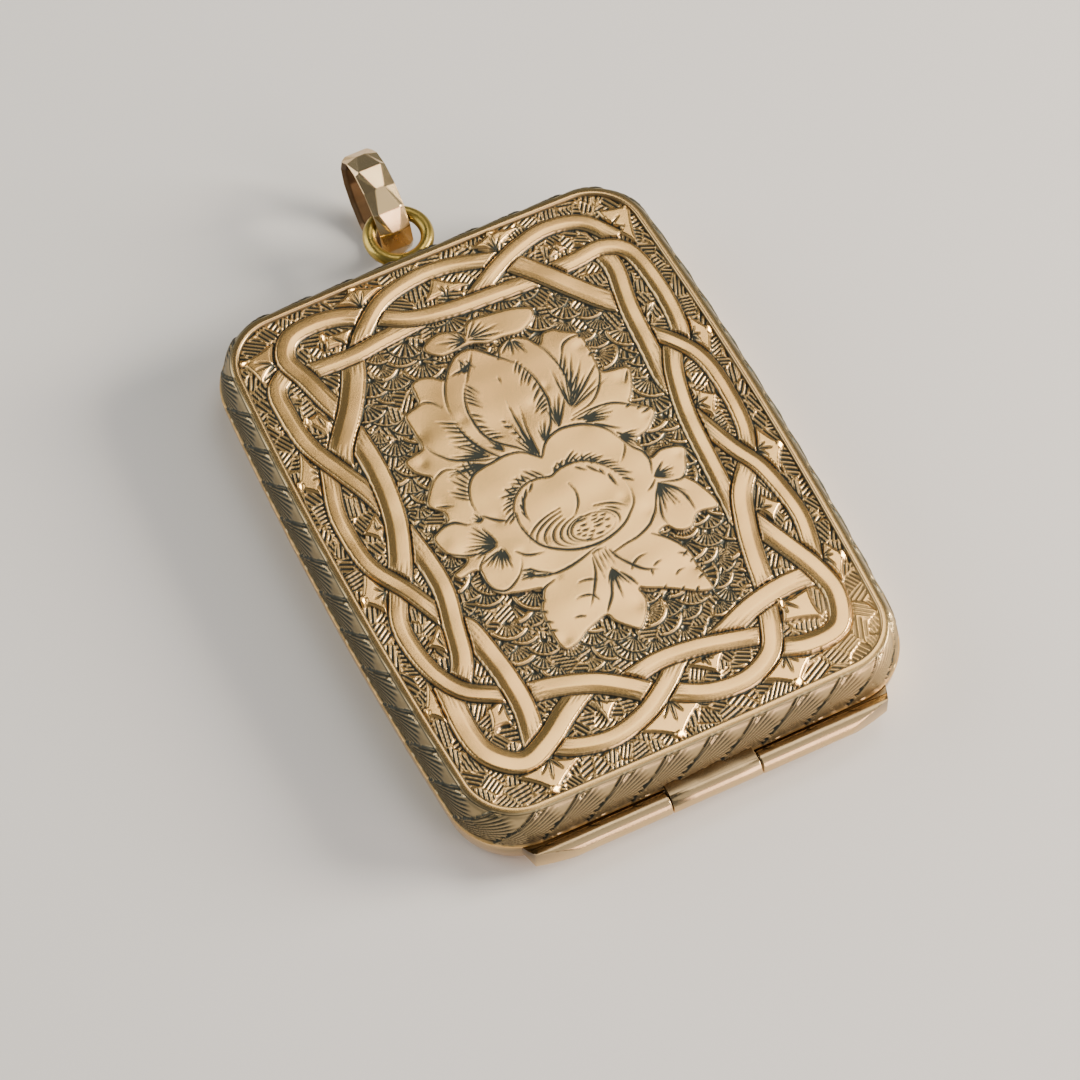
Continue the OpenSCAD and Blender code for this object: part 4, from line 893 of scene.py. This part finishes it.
# The wheat, worked out over the length round the wall and the way up from the seam.
S, up = np.meshgrid(run, bend_len[-1] - from_rim)
down = bend_len[-1] - up
leaf_s = S - np.floor((S - leaf_lean * up) / leaf_l) * leaf_l
past_spine = leaf_s - leaf_lean * up
rho = np.hypot(leaf_s, up)
fan_a = np.degrees(np.arctan2(up, leaf_s))
fine = stripes(fan_a / np.where(rho < near_root, near_pitch, far_pitch), line_bare, line_crisp)
fine *= np.clip((rho - line_start) / line_start_w, 0, 1) * np.clip((line_end - rho) / line_end_w, 0, 1)
spine = np.clip(1 - past_spine / spine_w, 0, 1)
off_foot = up - foot_low - foot_lean * leaf_s
foot = np.clip(1 - np.abs(off_foot) / (foot_w * np.clip(1 - leaf_s / foot_l, 0, 1) + 1e-6), 0, 1)
foot *= leaf_s < foot_l
ledge = np.clip(off_foot / foot_w, -1, 1)
wedge_s = past_spine - wedge_start
wedge_foot = wedge_top + wedge_w * (1 - wedge_s / wedge_l)
wedge = (wedge_s > 0) & (wedge_s < wedge_l) & (down > wedge_top) & (down < wedge_foot)
rim_shade = np.clip(1 - np.abs(down - rim_shade_at) / rim_shade_w, 0, 1)
# Painted light: the wall that faces -y, towards the front, and the lower right corner get less dark tone and
# less haze, so they read lighter.
wall_painted_light = np.clip(-rim_n[:, 1], 0, 1) + corner_wear_and_light(*rim_p.T)
wall_cut_and_light = wall_tone - wall_light_tone * wall_painted_light + fine * line_tone + spine + rim_shade * rim_shade_tone
wall_cut_and_light = np.clip(wall_cut_and_light, 0, 1) * (1 - foot) * (1 - wedge)
wall_cut_and_light *= (up > plain_edge) * np.clip(down / cut_fade, 0, 1)
wall_h = -leaf_d * past_spine / leaf_l - line_d * fine - spine_d * spine - foot_d * foot * (1 + ledge)
wall_h -= wedge_d * wedge * (1 - wedge_s / wedge_l)
wall_h *= np.clip(down / rise_fade, 0, 1) * np.clip(up / seam_fade, 0, 1)
wall_h = np.where(up > plain_edge, wall_h, plain_edge_rise)
wall_hazes_and_light = np.where(up > plain_edge, wall_haze - wall_light_haze * wall_painted_light - foot_haze * foot, plain_edge_haze)
edge_worn = edge_wear * np.exp(-from_rim / edge_wear_w)

rings = [np.column_stack([rim_p - rim_n * e, np.full(around, face_z + z)]) for e, z, _, _ in strip_rows]
for k in range(len(from_rim)):
    rings.append(np.column_stack([rim_p + rim_n * (out[k] + face_out[k, 0] * wall_h[k])[:, None],
                                  face_z - drop[k] - edge_worn[k] + face_out[k, 1] * wall_h[k]]))
strip_cut, strip_haze = (np.repeat([row[column] for row in strip_rows], around) for column in (2, 3))
wall_values = {"cut": np.r_[strip_cut, wall_cut_and_light.ravel()], "haze_and_painted_light": np.r_[strip_haze, wall_hazes_and_light.ravel()]}
wall_points = np.concatenate(rings)
for x, length in outer_rooms:
    wall_points = clear_of_knuckle(wall_points, x, length)
walls = surface("engraved_walls", wall_points, loft_faces(len(rings), around), engraved_gold, wall_values)
fasten(walls, "front", "front_cover")

# Front cover, inside
# The inner side of the same sheet, plainly polished: it runs up from the seam and across under the
# face, which is half a millimetre thick.
wall_t = 0.5
low_z, roof_z = seam_z + seam_gap, face_z - ground_d - wall_t
inner_low = wall_t - wall_swell
# Columns: inset from the rim, height
inner_rows = [(-wall_swell, low_z), (-wall_swell + 0.04, low_z - 0.01), (inner_low - 0.03, low_z - 0.01),
              (inner_low, low_z + 0.03), (inner_low + 0.06, low_z + 0.6), (0.1, (low_z + roof_z) / 2 + 0.3),
              (0.42, roof_z - 0.12), (0.6, roof_z)]


def ring_piece(name, rows, material, spacing=0.4, rooms=()):
    """A piece through rings of the outline, closed by a floor; each row holds an inset and a height."""
    p, n = outline(spacing)
    rings = [np.column_stack([p - n * e, np.full(len(p), z)]) for e, z in rows]
    rings += [rings[-1] * [shrink, shrink, 1] for shrink in (0.9, 0.6, 0.3, 0)]
    points = np.concatenate(rings)
    for x, length in rooms:
        points = clear_of_knuckle(points, x, length)
    piece = surface(name, points, loft_faces(len(rings), len(p)), material)
    form = bmesh.new()
    form.from_mesh(piece.data)
    bmesh.ops.remove_doubles(form, verts=form.verts[:], dist=0.0001 * MM)
    form.to_mesh(piece.data)
    form.free()
    return piece


# Polished 9 carat rose gold: warm and bright, with hair scratches that run two ways from wear and
# a slow change between bright and slightly hazy. Painted shade darkens the crease along the hinge.
polished_gold, tree = bare_finish("polished_rose_gold")
hazy_size, hair_d = 1 / 0.26, 0.02
crease = (0, -(half_l + wall_swell) * MM, (seam_z + 0.25) * MM)
# Painted shade fades out between these distances from the crease.
shade_near, shade_far = 0.3, 1.4
place = add(tree, "ShaderNodeTexCoord").outputs["Object"]
cloud = add(tree, "ShaderNodeTexNoise", {"Vector": place, "Scale": 1 / (hazy_size * MM), "Detail": 4.0,
                                         "Roughness": 0.6})
hairs = []
for turned, sizes in (((0.4, 0.2, 0.6), (1 / 9, 2, 1 / 3)), ((0.1, 0.7, -0.9), (1 / 0.7, 1 / 8, 1 / 2.6))):
    drawn = add(tree, "ShaderNodeMapping", {"Vector": place, "Rotation": turned,
                                            "Scale": [1 / (size * MM) for size in sizes]})
    hairs.append(add(tree, "ShaderNodeTexNoise", {"Vector": drawn.outputs[0], "Scale": 1.0, "Detail": 2.0}))
both = add(tree, "ShaderNodeMath", {0: hairs[0].outputs["Fac"], 1: hairs[1].outputs["Fac"]}, operation="ADD")
clean = add(tree, "ShaderNodeMix", {"Factor": cloud.outputs["Fac"], 6: linear("#E8CC9C"),
                                    7: linear("#D3AE7A")}, data_type="RGBA")
# Painted shade: dark colour close to the crease along the hinge, fading out further away.
from_crease = add(tree, "ShaderNodeVectorMath", {0: place, 1: crease}, operation="SUBTRACT")
squarely = add(tree, "ShaderNodeVectorMath", {0: from_crease.outputs[0], 1: (0, 1, 1)}, operation="MULTIPLY")
crease_far = add(tree, "ShaderNodeVectorMath", {0: squarely.outputs[0]}, operation="LENGTH")
crease_shade = add(tree, "ShaderNodeMapRange", {"Value": crease_far.outputs["Value"], "From Min": shade_near * MM,
                                         "From Max": shade_far * MM, "To Min": 0.85, "To Max": 0.0})
colour = add(tree, "ShaderNodeMix", {"Factor": crease_shade.outputs[0], 6: clean.outputs[2], 7: linear("#3A352A")},
             data_type="RGBA")
rough = add(tree, "ShaderNodeMapRange", {"Value": cloud.outputs["Fac"], "From Min": 0.3, "From Max": 0.75,
                                         "To Min": 0.16, "To Max": 0.34})
scratched = add(tree, "ShaderNodeBump", {"Height": both.outputs[0], "Strength": 0.1, "Distance": hair_d * MM})
shader = add(tree, "ShaderNodeBsdfPrincipled", {"Base Color": colour.outputs[2], "Metallic": 1.0,
                                                "Roughness": rough.outputs[0],
                                                "Normal": scratched.outputs[0]})
add(tree, "ShaderNodeOutputMaterial", {"Surface": shader.outputs[0]})

inner_shell = ring_piece("front_inner_shell", inner_rows, polished_gold, rooms=outer_rooms)
fasten(inner_shell, "front", "front_cover")

# Front cover, middle knuckle
# A short tube turned from the same gold, with rounded ends, soldered to the front cover's edge by a
# narrow web with eased edges.
pin_r, pin_gap, edge_round = 0.3, 0.03, 0.05
web_in, web_round = 0.9, 0.04
bore, half, eased = pin_r + pin_gap, inner_knuckle_l / 2, 0.3 * edge_round


def turned_piece(name, right_half, back=(), steps=48):
    """A piece turned about the hinge's axis; points hold a place from its middle and a radius."""
    profile = [(-x, r) for x, r in right_half[:0:-1]] + right_half + list(back)
    a = np.linspace(0, 2 * math.pi, steps, endpoint=False)
    rings = [np.column_stack([np.full(steps, hinge_x + x), axis_y + r * np.cos(a), axis_z + r * np.sin(a)])
             for x, r in profile]
    return surface(name, np.concatenate(rings), loft_faces(len(rings), steps)[:, ::-1], polished_gold)


knuckle_half = [(0, knuckle_r), (half / 2, knuckle_r), (half - edge_round, knuckle_r),
                (half - eased, knuckle_r - eased), (half, knuckle_r - edge_round), (half, bore)]
middle_knuckle = turned_piece("front_knuckle", knuckle_half, back=[(0, bore), (-half, bore)])
form = bmesh.new()
web_high = axis_z + knuckle_r
left_end, right_end = ([form.verts.new(Vector((hinge_x + side * half, axis_y + y, z)) * MM) for y, z in
                        ((0, low_z), (web_in, low_z), (web_in, web_high), (0, web_high))] for side in (-1, 1))
form.faces.new(left_end[::-1])
form.faces.new(right_end)
for k in range(4):
    form.faces.new([left_end[k], left_end[k - 3], right_end[k - 3], right_end[k]])
bmesh.ops.recalc_face_normals(form, faces=form.faces)
bmesh.ops.bevel(form, geom=form.edges[:], offset=web_round * MM, segments=2, affect="EDGES", profile=0.5)
mesh = bpy.data.meshes.new("front_knuckle_web")
form.to_mesh(mesh)
form.free()
for piece in (middle_knuckle, new_piece(mesh, polished_gold)):
    fasten(piece, "front", "front_cover")

# Front cover, loop for the bail
# A ring of round wire, closed and soldered flat to the top wall; the wire and its solder are a
# yellower gold than the sheet, and the solder runs up a little on both sides of the joint.
loop_r, wire_r, loop_drop, loop_sink = 1.58, 0.38, 1.45, 0.27
loop_z = face_z - loop_drop
wall_at_loop = wall_swell * math.sqrt(1 - (1 - loop_drop / front_h) ** 2)
loop_y = half_l + wall_at_loop + loop_r + wire_r - loop_sink
wire_steps, wire_round, unevenness, solder_swell, solder_spread = 144, 40, 0.02, 0.35, 0.42

# Yellow gold wire and solder: greener and a little duller than the rose gold, finely pitted, with
# grease in patches of about a millimetre.
yellow_gold, tree = bare_finish("yellow_gold_wire")
grease_size, pit_size, pit_d = 1 / 0.9, 1 / 7, 0.02
place = add(tree, "ShaderNodeTexCoord").outputs["Object"]
cloud = add(tree, "ShaderNodeTexNoise", {"Vector": place, "Scale": 1 / (grease_size * MM), "Detail": 5.0,
                                         "Roughness": 0.65})
pits = add(tree, "ShaderNodeTexNoise", {"Vector": place, "Scale": 1 / (pit_size * MM), "Detail": 3.0})
colour = add(tree, "ShaderNodeMix", {"Factor": cloud.outputs["Fac"], 6: linear("#C9AE5C"),
                                     7: linear("#8C7434")}, data_type="RGBA")
rough = add(tree, "ShaderNodeMapRange", {"Value": cloud.outputs["Fac"], "From Min": 0.3, "From Max": 0.7,
                                         "To Min": 0.22, "To Max": 0.42})
pitted = add(tree, "ShaderNodeBump", {"Height": pits.outputs["Fac"], "Strength": 0.25,
                                      "Distance": pit_d * MM})
shader = add(tree, "ShaderNodeBsdfPrincipled", {"Base Color": colour.outputs[2], "Metallic": 1.0,
                                                "Roughness": rough.outputs[0], "Normal": pitted.outputs[0]})
add(tree, "ShaderNodeOutputMaterial", {"Surface": shader.outputs[0]})

A, B = np.meshgrid(np.linspace(0, 2 * math.pi, wire_steps, endpoint=False),
                   np.linspace(0, 2 * math.pi, wire_round, endpoint=False), indexing="ij")
thick = wire_r * (1 + unevenness * np.sin(3 * A + 1) * np.cos(2 * B))
solder = 1 + solder_swell * np.exp(-((A - 1.5 * math.pi) / solder_spread) ** 2)
ring_x = (loop_r + thick * np.cos(B)) * np.cos(A)
ring_y = (loop_r + thick * np.cos(B)) * np.sin(A)
ring_z = thick * np.sin(B) * np.where(ring_y < -loop_r, solder, 1)
ids = np.arange(wire_steps * wire_round).reshape(wire_steps, wire_round)
next_a, next_b = np.roll(ids, -1, 0), np.roll(ids, -1, 1)
faces = np.stack([ids, next_a, np.roll(next_a, -1, 1), next_b], -1).reshape(-1, 4)
points = np.stack([ring_x.ravel(), loop_y + ring_y.ravel(), loop_z + ring_z.ravel()], 1)
loop = surface("soldered_loop", points, faces, yellow_gold)
fasten(loop, "front", "front_cover")

# Back cover
# A shallow tray of plain polished sheet with a flat back. Its rounded upper edge shows as a thin
# bright line under the engraved wall, and the snap rim stands up inside it.
back_draw, bend_steps = 0.9, 16
lip_h, lip_t, lip_gap, lip_round = 0.45, 0.28, 0.08, 0.05
lip_out = wall_t - wall_swell + lip_gap
lip_in, lip_side, lip_top = lip_out + lip_t, lip_out + lip_gap / 2, seam_z + lip_h
# Columns: inset from the rim, height
back_rows = [(lip_in, wall_t), (lip_in, lip_top - lip_round), (lip_in - lip_round, lip_top),
             (lip_side + lip_round, lip_top), (lip_side, lip_top - lip_round), (lip_out, seam_z + 0.03),
             (lip_out - 0.03, seam_z), (0.07 - wall_swell, seam_z), (0.02 - wall_swell, seam_z - 0.02)]
for t in np.radians(np.linspace(2, 86, bend_steps)):
    back_rows.append((back_draw * (1 - math.cos(t)) - wall_swell, seam_z * (1 - math.sin(t))))
back_rows += [(back_draw - wall_swell + 0.02, 0.0), (back_draw - wall_swell + 0.3, 0.0)]
tray = ring_piece("back_tray", back_rows, polished_gold, spacing=0.25, rooms=[(hinge_x, inner_knuckle_l)])
tray_floor = ring_piece("back_inner_floor", [(lip_in, wall_t), (lip_in + 0.3, wall_t)], polished_gold)
for piece in (tray, tray_floor):
    fasten(piece, "back", "back_cover")

# Back cover, outer knuckles
# Two tubes, each one piece with the seat that is soldered along the back cover's edge. The seat's
# outer end is filed to a long slope.
seat_high, seat_low, seat_sections = seam_z - axis_z, -knuckle_r / 2, 15


def outer_knuckle(name, side):
    """A knuckle with its seat; side is -1 on the left and 1 on the right."""
    seams = [math.atan2(seat_high, seat_in), math.atan2(seat_low, seat_in),
             math.asin(seat_high / knuckle_r), math.asin(seat_low / knuckle_r)]
    a = np.sort(np.r_[np.radians(np.arange(0, 360, 7.5)), np.mod(seams, 2 * math.pi)])
    toward, up = np.cos(a), np.sin(a)
    reach = np.where(toward > 0, seat_in / np.maximum(toward, 1e-9), 0)
    to_level = np.where(up > 0, seat_high / np.maximum(up, 1e-9), seat_low / np.minimum(up, -1e-9))
    reach = np.maximum(np.minimum(reach, to_level), knuckle_r)
    start, pin_end = hinge_x + side * (knuckle_l + knuckle_gap) / 2, hinge_x + side * hinge_l / 2
    # Columns: place along the hinge, size of the section (None for the bore), way along the slope
    stations = [(start + side * 0.6, None, 0), (start, None, 0), (start, 1 - edge_round, 0),
                (start + side * edge_round, 1, 0), (pin_end, 1, 0)]
    stations += [(pin_end + side * u, 1, u) for u in np.linspace(0.05, seat_l - 0.04, seat_sections)]
    form = bmesh.new()
    rings = []
    for x, size, u in stations:
        y, z = (toward * bore, up * bore) if size is None else (toward * reach * size, up * reach * size)
        v = np.interp(u, [0, slope_l, seat_l], [-knuckle_r, slope_in - knuckle_r, seat_in])
        edge = math.sqrt(max(knuckle_r**2 - max(v, 0) ** 2, 0))
        y, z = np.maximum(y, v), np.clip(z, min(seat_low, -edge), max(seat_high, edge))
        rings.append([form.verts.new(Vector((x, axis_y + p, axis_z + q)) * MM) for p, q in zip(y, z)])
    for here, there in zip(rings, rings[1:]):
        for k in range(len(a)):
            form.faces.new([here[k], here[k - 1], there[k - 1], there[k]])
    form.faces.new(rings[0])
    form.faces.new(rings[-1])
    bmesh.ops.remove_doubles(form, verts=form.verts[:], dist=0.001 * MM)
    bmesh.ops.recalc_face_normals(form, faces=form.faces)
    mesh = bpy.data.meshes.new(name)
    form.to_mesh(mesh)
    form.free()
    mesh.polygons.foreach_set("use_smooth", np.ones(len(mesh.polygons), bool))
    mesh.set_sharp_from_angle(angle=math.radians(30))
    return new_piece(mesh, polished_gold)


for side, word in ((-1, "left"), (1, "right")):
    fasten(outer_knuckle("back_knuckle_" + word, side), "back", "back_cover")

# Hinge pin
# A straight drawn wire of the same gold, pushed through the three knuckles, its ends filed flush and
# lightly domed. It stays in the back cover's knuckles when the front cover opens.
half = hinge_l / 2
pin_half = [(0, pin_r), (half - 0.1, pin_r), (half - 0.05, 0.26), (half - 0.01, 0.15), (half, 0.0005)]
pin = turned_piece("hinge_wire", pin_half, steps=32)
fasten(pin, "back", "hinge_pin")

# Bail
# An oval band cast in one piece, filed to lozenge facets round the outside and polished bright,
# with a plain bevel and a narrow rounded edge to the hole.
bail_l, bail_h, bail_w, bail_t, bail_round = 6.1, 4.4, 1.9, 0.45, 0.06
bail_lean, bail_out, bail_drop, bail_facets, edge_d = 30, 1.15, 0.46, 14, 0.2
# Shares of the width: the hole's edge, the outer edge, and a facet's wide and narrow crests
inner_x, outer_x, wide_x, narrow_x = 0.37, 0.5, 0.36, 0.12

# Inside the bail: the same gold, darker and browner in spots under a millimetre, and less glossy.
dark_inner_gold, tree = bare_finish("dark_inner_rose_gold")
spot_size = 1 / 1.2
place = add(tree, "ShaderNodeTexCoord").outputs["Object"]
cloud = add(tree, "ShaderNodeTexNoise", {"Vector": place, "Scale": 1 / (spot_size * MM), "Detail": 4.0})
colour = add(tree, "ShaderNodeMix", {"Factor": cloud.outputs["Fac"], 6: linear("#4A3826"),
                                     7: linear("#7A5E40")}, data_type="RGBA")
shader = add(tree, "ShaderNodeBsdfPrincipled", {"Base Color": colour.outputs[2], "Metallic": 0.9,
                                                "Roughness": 0.45})
add(tree, "ShaderNodeOutputMaterial", {"Surface": shader.outputs[0]})

lean = Matrix.Rotation(math.radians(bail_lean), 4, "X")
bail_c = Vector((0, loop_y + loop_r + bail_out, loop_z - bail_drop))
form = bmesh.new()
sections = []
for k in range(bail_facets):
    a = 2 * math.pi * k / bail_facets
    crest = narrow_x if k % 2 else wide_x
    section = []
    for x, depth in ((-inner_x, bail_t), (-outer_x, edge_d), (-crest, 0),
                     (crest, 0), (outer_x, edge_d), (inner_x, bail_t)):
        spot = Vector((x * bail_w, (bail_l / 2 - depth) * math.cos(a), (bail_h / 2 - depth) * math.sin(a)))
        section.append(form.verts.new((bail_c + lean @ spot) * MM))
    sections.append(section)
for here, there in zip(sections, sections[1:] + sections[:1]):
    for m in range(6):
        n = (m + 1) % 6
        form.faces.new([here[m], here[n], there[n], there[m]])
bmesh.ops.recalc_face_normals(form, faces=form.faces)
bmesh.ops.bevel(form, geom=form.edges[:], offset=bail_round * MM, segments=3, affect="EDGES", profile=0.5)
# The faces that turn into the hole take the darker brown finish.
for face in form.faces:
    if face.normal.dot(face.calc_center_median() - bail_c * MM) < 0:
        face.material_index = 1
mesh = bpy.data.meshes.new("bail_band")
form.to_mesh(mesh)
form.free()
fasten(new_piece(mesh, polished_gold, dark_inner_gold), "bail", "bail")

# Surroundings
# A pale matt board under the locket, in a grey-blue room that is brighter low down, for the sides to
# mirror. A soft panel hangs near where the face mirrors the camera, a strong one to the right lights
# the bevels, one low in front lights the wall, and two weak ones fill in from above and the left.
board_half, board_z = 400, -0.01
board_paint, tree = bare_finish("pale_matt_board")
shader = add(tree, "ShaderNodeBsdfPrincipled", {"Base Color": linear("#D9D6D0"), "Roughness": 0.7})
add(tree, "ShaderNodeOutputMaterial", {"Surface": shader.outputs[0]})
mesh = bpy.data.meshes.new("board")
form = bmesh.new()
form.faces.new([form.verts.new(Vector((x * board_half, y * board_half, board_z)) * MM)
                for x, y in ((-1, -1), (1, -1), (1, 1), (-1, 1))])
form.to_mesh(mesh)
form.free()
new_piece(mesh, board_paint)

# The camera looks at the face from the photograph's side and height, through a long lens.
scene = bpy.context.scene
view_az, view_el, view_far = math.radians(-26.4542), math.radians(59.0391), 259.6745
aim = Vector((-2.0712, -2.4612, face_z))
towards = Vector((math.sin(view_az) * math.cos(view_el), -math.cos(view_az) * math.cos(view_el),
                  math.sin(view_el)))
lens = bpy.data.cameras.new("camera")
lens.lens, lens.sensor_width, lens.clip_start = 166.667, 36.0, 0.01
camera = bpy.data.objects.new("camera", lens)
camera.location = (aim + towards * view_far) * MM
camera.rotation_euler = towards.to_track_quat("Z", "Y").to_euler()
scene.collection.objects.link(camera)
scene.camera = camera

# The lamps hang 0.35 m from the locket. Columns: name, direction, size in metres, watts, colour
lamp_far = 0.35
lamps = [
    ("sky_panel", (0.33, 0.262, 0.907), 0.17, 0.38, "#FFF8F0"),
    ("right_key", (0.9, -0.3, 0.42), 0.14, 2.8, "#FFF6EA"),
    ("front_low", (0.45, -0.85, 0.32), 0.2, 0.85, "#FFE4DC"),
    ("near_panel", (0.25, -0.42, 0.87), 0.28, 0.24, "#FFFAF2"),
    ("left_fill", (-0.75, 0.6, 0.42), 0.3, 0.8, "#FFFFFF"),
]
for name, direction, size, power, colour in lamps:
    lamp = bpy.data.lights.new(name, "AREA")
    lamp.shape, lamp.size, lamp.energy, lamp.color = "SQUARE", size, power, linear(colour)[:3]
    holder = bpy.data.objects.new(name, lamp)
    direction = Vector(direction).normalized()
    holder.location = direction * lamp_far
    holder.rotation_euler = direction.to_track_quat("Z", "Y").to_euler()
    scene.collection.objects.link(holder)

room = bpy.data.worlds.new("dim_room")
scene.world = room
room.use_nodes = True
tree = room.node_tree
direction = add(tree, "ShaderNodeTexCoord").outputs["Generated"]
up = add(tree, "ShaderNodeSeparateXYZ", {"Vector": direction}).outputs["Z"]
glow = add(tree, "ShaderNodeMapRange", {"Value": up, "From Min": 0.2, "From Max": 0.75, "To Min": 0.62,
                                        "To Max": 0.24}, interpolation_type="SMOOTHSTEP")
background = tree.nodes["Background"]
background.inputs["Color"].default_value = linear("#B4BEC6")
tree.links.new(glow.outputs[0], background.inputs["Strength"])
